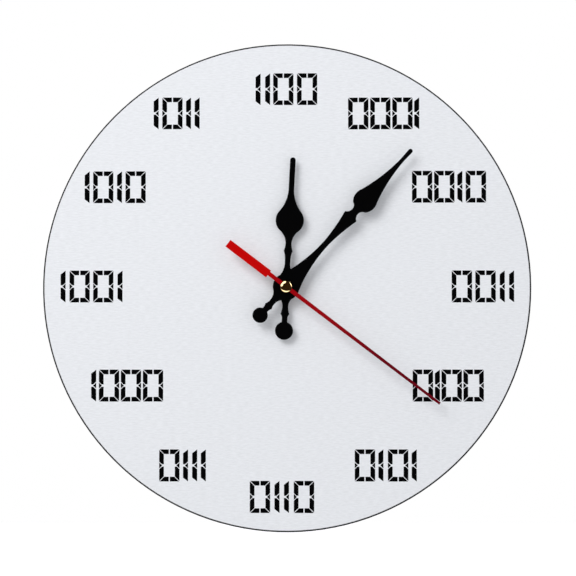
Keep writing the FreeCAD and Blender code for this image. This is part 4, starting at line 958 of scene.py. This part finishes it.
class BuildStage(bpy.types.Operator):
    """Floor, lamps, surroundings and camera"""

    bl_idname = "clock.build_stage"
    bl_label = "Build Stage"

    def execute(self, context):
        settings = context.scene.clock_studio
        self.lay_floor(settings)
        self.hang_lamps(settings)
        self.paint_surroundings(context.scene, settings)
        self.place_camera(context.scene, settings)
        context.scene.view_settings.view_transform = "Standard"
        return {"FINISHED"}

    def lay_floor(self, settings):
        mesh = bpy.data.meshes.new("floor")
        build = bmesh.new()
        side, near, far = 2.0, -0.05, 3.0
        corners = (-side, near), (side, near), (side, far), (-side, far)
        build.faces.new([build.verts.new((x, y, -settings.floor_drop)) for x, y in corners])
        build.to_mesh(mesh)
        build.free()
        floor = bpy.data.objects.new("floor", mesh)
        bpy.context.collection.objects.link(floor)
        material = make_finish("pale_floor", "Mottling", (0.82, 0.82, 0.82), 0.7, {"Colour Spread": 0.01})
        nodes, links = material.node_tree.nodes, material.node_tree.links
        rays = nodes.new("ShaderNodeLightPath")
        lift = math_node(nodes, "MULTIPLY", second=0.52)
        place = nodes.new("ShaderNodeTexCoord")
        split = nodes.new("ShaderNodeSeparateXYZ")
        # The floor's front strip glows, up to half of white, in reflections only: a painted glow that shows
        # as a bright crescent low on the brass cap.
        front = nodes.new("ShaderNodeMapRange")
        front.inputs["From Min"].default_value = 0.08
        front.inputs["From Max"].default_value = 0.04
        front.inputs["To Max"].default_value = 0.5
        painted_reflection_glow = math_node(nodes, "MULTIPLY")
        glow = math_node(nodes, "MAXIMUM")
        shader = nodes["Principled BSDF"]
        shader.inputs["Emission Color"].default_value = WHITE
        links.new(rays.outputs["Is Camera Ray"], lift.inputs[0])
        links.new(place.outputs["Object"], split.inputs[0])
        links.new(split.outputs["Y"], front.inputs["Value"])
        links.new(rays.outputs["Is Glossy Ray"], painted_reflection_glow.inputs[0])
        links.new(front.outputs["Result"], painted_reflection_glow.inputs[1])
        links.new(lift.outputs[0], glow.inputs[0])
        links.new(painted_reflection_glow.outputs[0], glow.inputs[1])
        links.new(glow.outputs[0], shader.inputs["Emission Strength"])
        mesh.materials.append(material)

    def hang_lamps(self, settings):
        for name, place, size, power in (
            ("key_lamp", (-0.862, -1.39, 1.00), 1.0, settings.key_power),
            ("fill_lamp", (0.5, -1.7, -0.7), 2.2, settings.fill_power),
            ("back_lamp", (0.9, 1.5, 1.1), 1.2, settings.back_power),
        ):
            lamp = bpy.data.lights.new(name, "AREA")
            lamp.shape = "SQUARE"
            lamp.size = size
            lamp.energy = power
            holder = bpy.data.objects.new(name, lamp)
            holder.location = place
            holder.rotation_mode = "QUATERNION"
            holder.rotation_quaternion = (-Vector(place)).to_track_quat("-Z", "Y")
            holder.visible_camera = False
            holder.visible_glossy = False
            bpy.context.collection.objects.link(holder)

    @staticmethod
    def glow_towards(tree, place, direction, begins, ends, dim, bright):
        """A value that rises from dim to bright as the view turns towards a direction."""
        towards = tree.nodes.new("ShaderNodeVectorMath")
        towards.operation = "DOT_PRODUCT"
        towards.inputs[1].default_value = Vector(direction).normalized()
        ramp = tree.nodes.new("ShaderNodeMapRange")
        ramp.inputs["From Min"].default_value = begins
        ramp.inputs["From Max"].default_value = ends
        ramp.inputs["To Min"].default_value = dim
        ramp.inputs["To Max"].default_value = bright
        tree.links.new(place.outputs["Generated"], towards.inputs[0])
        tree.links.new(towards.outputs["Value"], ramp.inputs["Value"])
        return ramp.outputs["Result"]

    @staticmethod
    def joined(tree, operation, first, second):
        join = math_node(tree.nodes, operation)
        tree.links.new(first, join.inputs[0])
        tree.links.new(second, join.inputs[1])
        return join.outputs[0]

    @staticmethod
    def mixed_colour(tree, factor, first, second):
        mix = tree.nodes.new("ShaderNodeMix")
        mix.data_type = "RGBA"
        mix.inputs["A"].default_value = first
        mix.inputs["B"].default_value = second
        tree.links.new(factor, mix.inputs["Factor"])
        return mix

    def paint_surroundings(self, scene, settings):
        """White behind the clock, even light all round, and in front a dim warm room to be mirrored."""
        world = bpy.data.worlds.new("studio")
        world.use_nodes = True
        scene.world = world
        nodes, links = world.node_tree.nodes, world.node_tree.links
        light = nodes["Background"]
        light.inputs["Color"].default_value = (0.975, 0.984, 0.999, 1.0)
        light.inputs["Strength"].default_value = settings.ambient
        white = nodes.new("ShaderNodeBackground")
        white.inputs["Color"].default_value = WHITE
        room = nodes.new("ShaderNodeBackground")
        place = nodes.new("ShaderNodeTexCoord")
        tree = world.node_tree
        glows = [
            self.glow_towards(tree, place, patch, begins, ends, 0.0, strength)
            for patch, begins, ends, strength in ROOM_PATCHES
        ]
        brightness = glows[0]
        for glow in glows[1:]:
            brightness = self.joined(tree, "MAXIMUM", brightness, glow)
        in_front = self.glow_towards(tree, place, (0.0, -1.0, 0.0), -0.30, -0.15, 0.0, 1.0)
        behind = self.glow_towards(tree, place, (0.0, 1.0, 0.0), 0.15, 0.35, settings.dim_room, 1.0)
        patches = self.joined(tree, "MULTIPLY", brightness, in_front)
        brightness = self.joined(tree, "MAXIMUM", patches, behind)
        links.new(brightness, room.inputs["Strength"])
        in_front_tone = self.mixed_colour(tree, patches, WARM_ROOM, COOL_PATCHES)
        tone = self.mixed_colour(tree, behind, WARM_ROOM, WHITE)
        links.new(in_front_tone.outputs["Result"], tone.inputs["A"])
        links.new(tone.outputs["Result"], room.inputs["Color"])
        rays = nodes.new("ShaderNodeLightPath")
        mirrored_room = nodes.new("ShaderNodeMixShader")
        links.new(rays.outputs["Is Glossy Ray"], mirrored_room.inputs[0])
        links.new(light.outputs[0], mirrored_room.inputs[1])
        links.new(room.outputs[0], mirrored_room.inputs[2])
        seen = math_node(nodes, "MAXIMUM")
        links.new(rays.outputs["Is Camera Ray"], seen.inputs[0])
        links.new(rays.outputs["Is Transmission Ray"], seen.inputs[1])
        backdrop = nodes.new("ShaderNodeMixShader")
        links.new(seen.outputs[0], backdrop.inputs[0])
        links.new(mirrored_room.outputs[0], backdrop.inputs[1])
        links.new(white.outputs[0], backdrop.inputs[2])
        links.new(backdrop.outputs[0], nodes["World Output"].inputs["Surface"])

    def place_camera(self, scene, settings):
        aim = Vector((settings.aim_right, DIAL_FACE_Y, -settings.aim_low))
        right, low = math.sin(settings.camera_right), math.sin(settings.camera_low)
        away = Vector((right, -math.sqrt(1 - right**2 - low**2), -low))
        lens = bpy.data.cameras.new("camera")
        lens.sensor_width = 36.0
        lens.lens = settings.focal_length
        camera = bpy.data.objects.new("camera", lens)
        camera.location = aim + away * settings.camera_distance
        camera.rotation_mode = "QUATERNION"
        camera.rotation_quaternion = (-away).to_track_quat("-Z", "Y")
        bpy.context.collection.objects.link(camera)
        scene.camera = camera


OPERATORS = (
    FinishDial,
    PrintNumbers,
    FinishHands,
    FinishFixings,
    FinishMovement,
    FinishTrain,
    FinishBattery,
    BuildStage,
)
SETTINGS = {
    "clock_dial": ClockDialSettings,
    "clock_hands": ClockHandSettings,
    "clock_movement": ClockMovementSettings,
    "clock_studio": ClockStudioSettings,
}


class ClockPanel(bpy.types.Panel):
    """The clock's steps and settings"""

    bl_idname = "VIEW3D_PT_clock"
    bl_label = "Binary Wall Clock"
    bl_space_type = "VIEW_3D"
    bl_region_type = "UI"
    bl_category = "Clock"

    def draw(self, context):
        for operator in OPERATORS:
            self.layout.operator(operator.bl_idname)
        for name, group in SETTINGS.items():
            box = self.layout.box()
            for setting in group.__annotations__:
                box.prop(getattr(context.scene, name), setting)


CLASSES = (*SETTINGS.values(), *OPERATORS, ClockPanel)


def register():
    for item in CLASSES:
        bpy.utils.register_class(item)
    for name, group in SETTINGS.items():
        setattr(bpy.types.Scene, name, PointerProperty(type=group))


def unregister():
    for name in SETTINGS:
        delattr(bpy.types.Scene, name)
    for item in reversed(CLASSES):
        bpy.utils.unregister_class(item)


def main():
    register()
    bpy.ops.clock.finish_dial()
    bpy.ops.clock.print_numbers()
    bpy.ops.clock.finish_hands()
    bpy.ops.clock.finish_fixings()
    bpy.ops.clock.finish_movement()
    bpy.ops.clock.finish_train()
    bpy.ops.clock.finish_battery()
    bpy.ops.clock.build_stage()


if __name__ == "__main__":
    main()
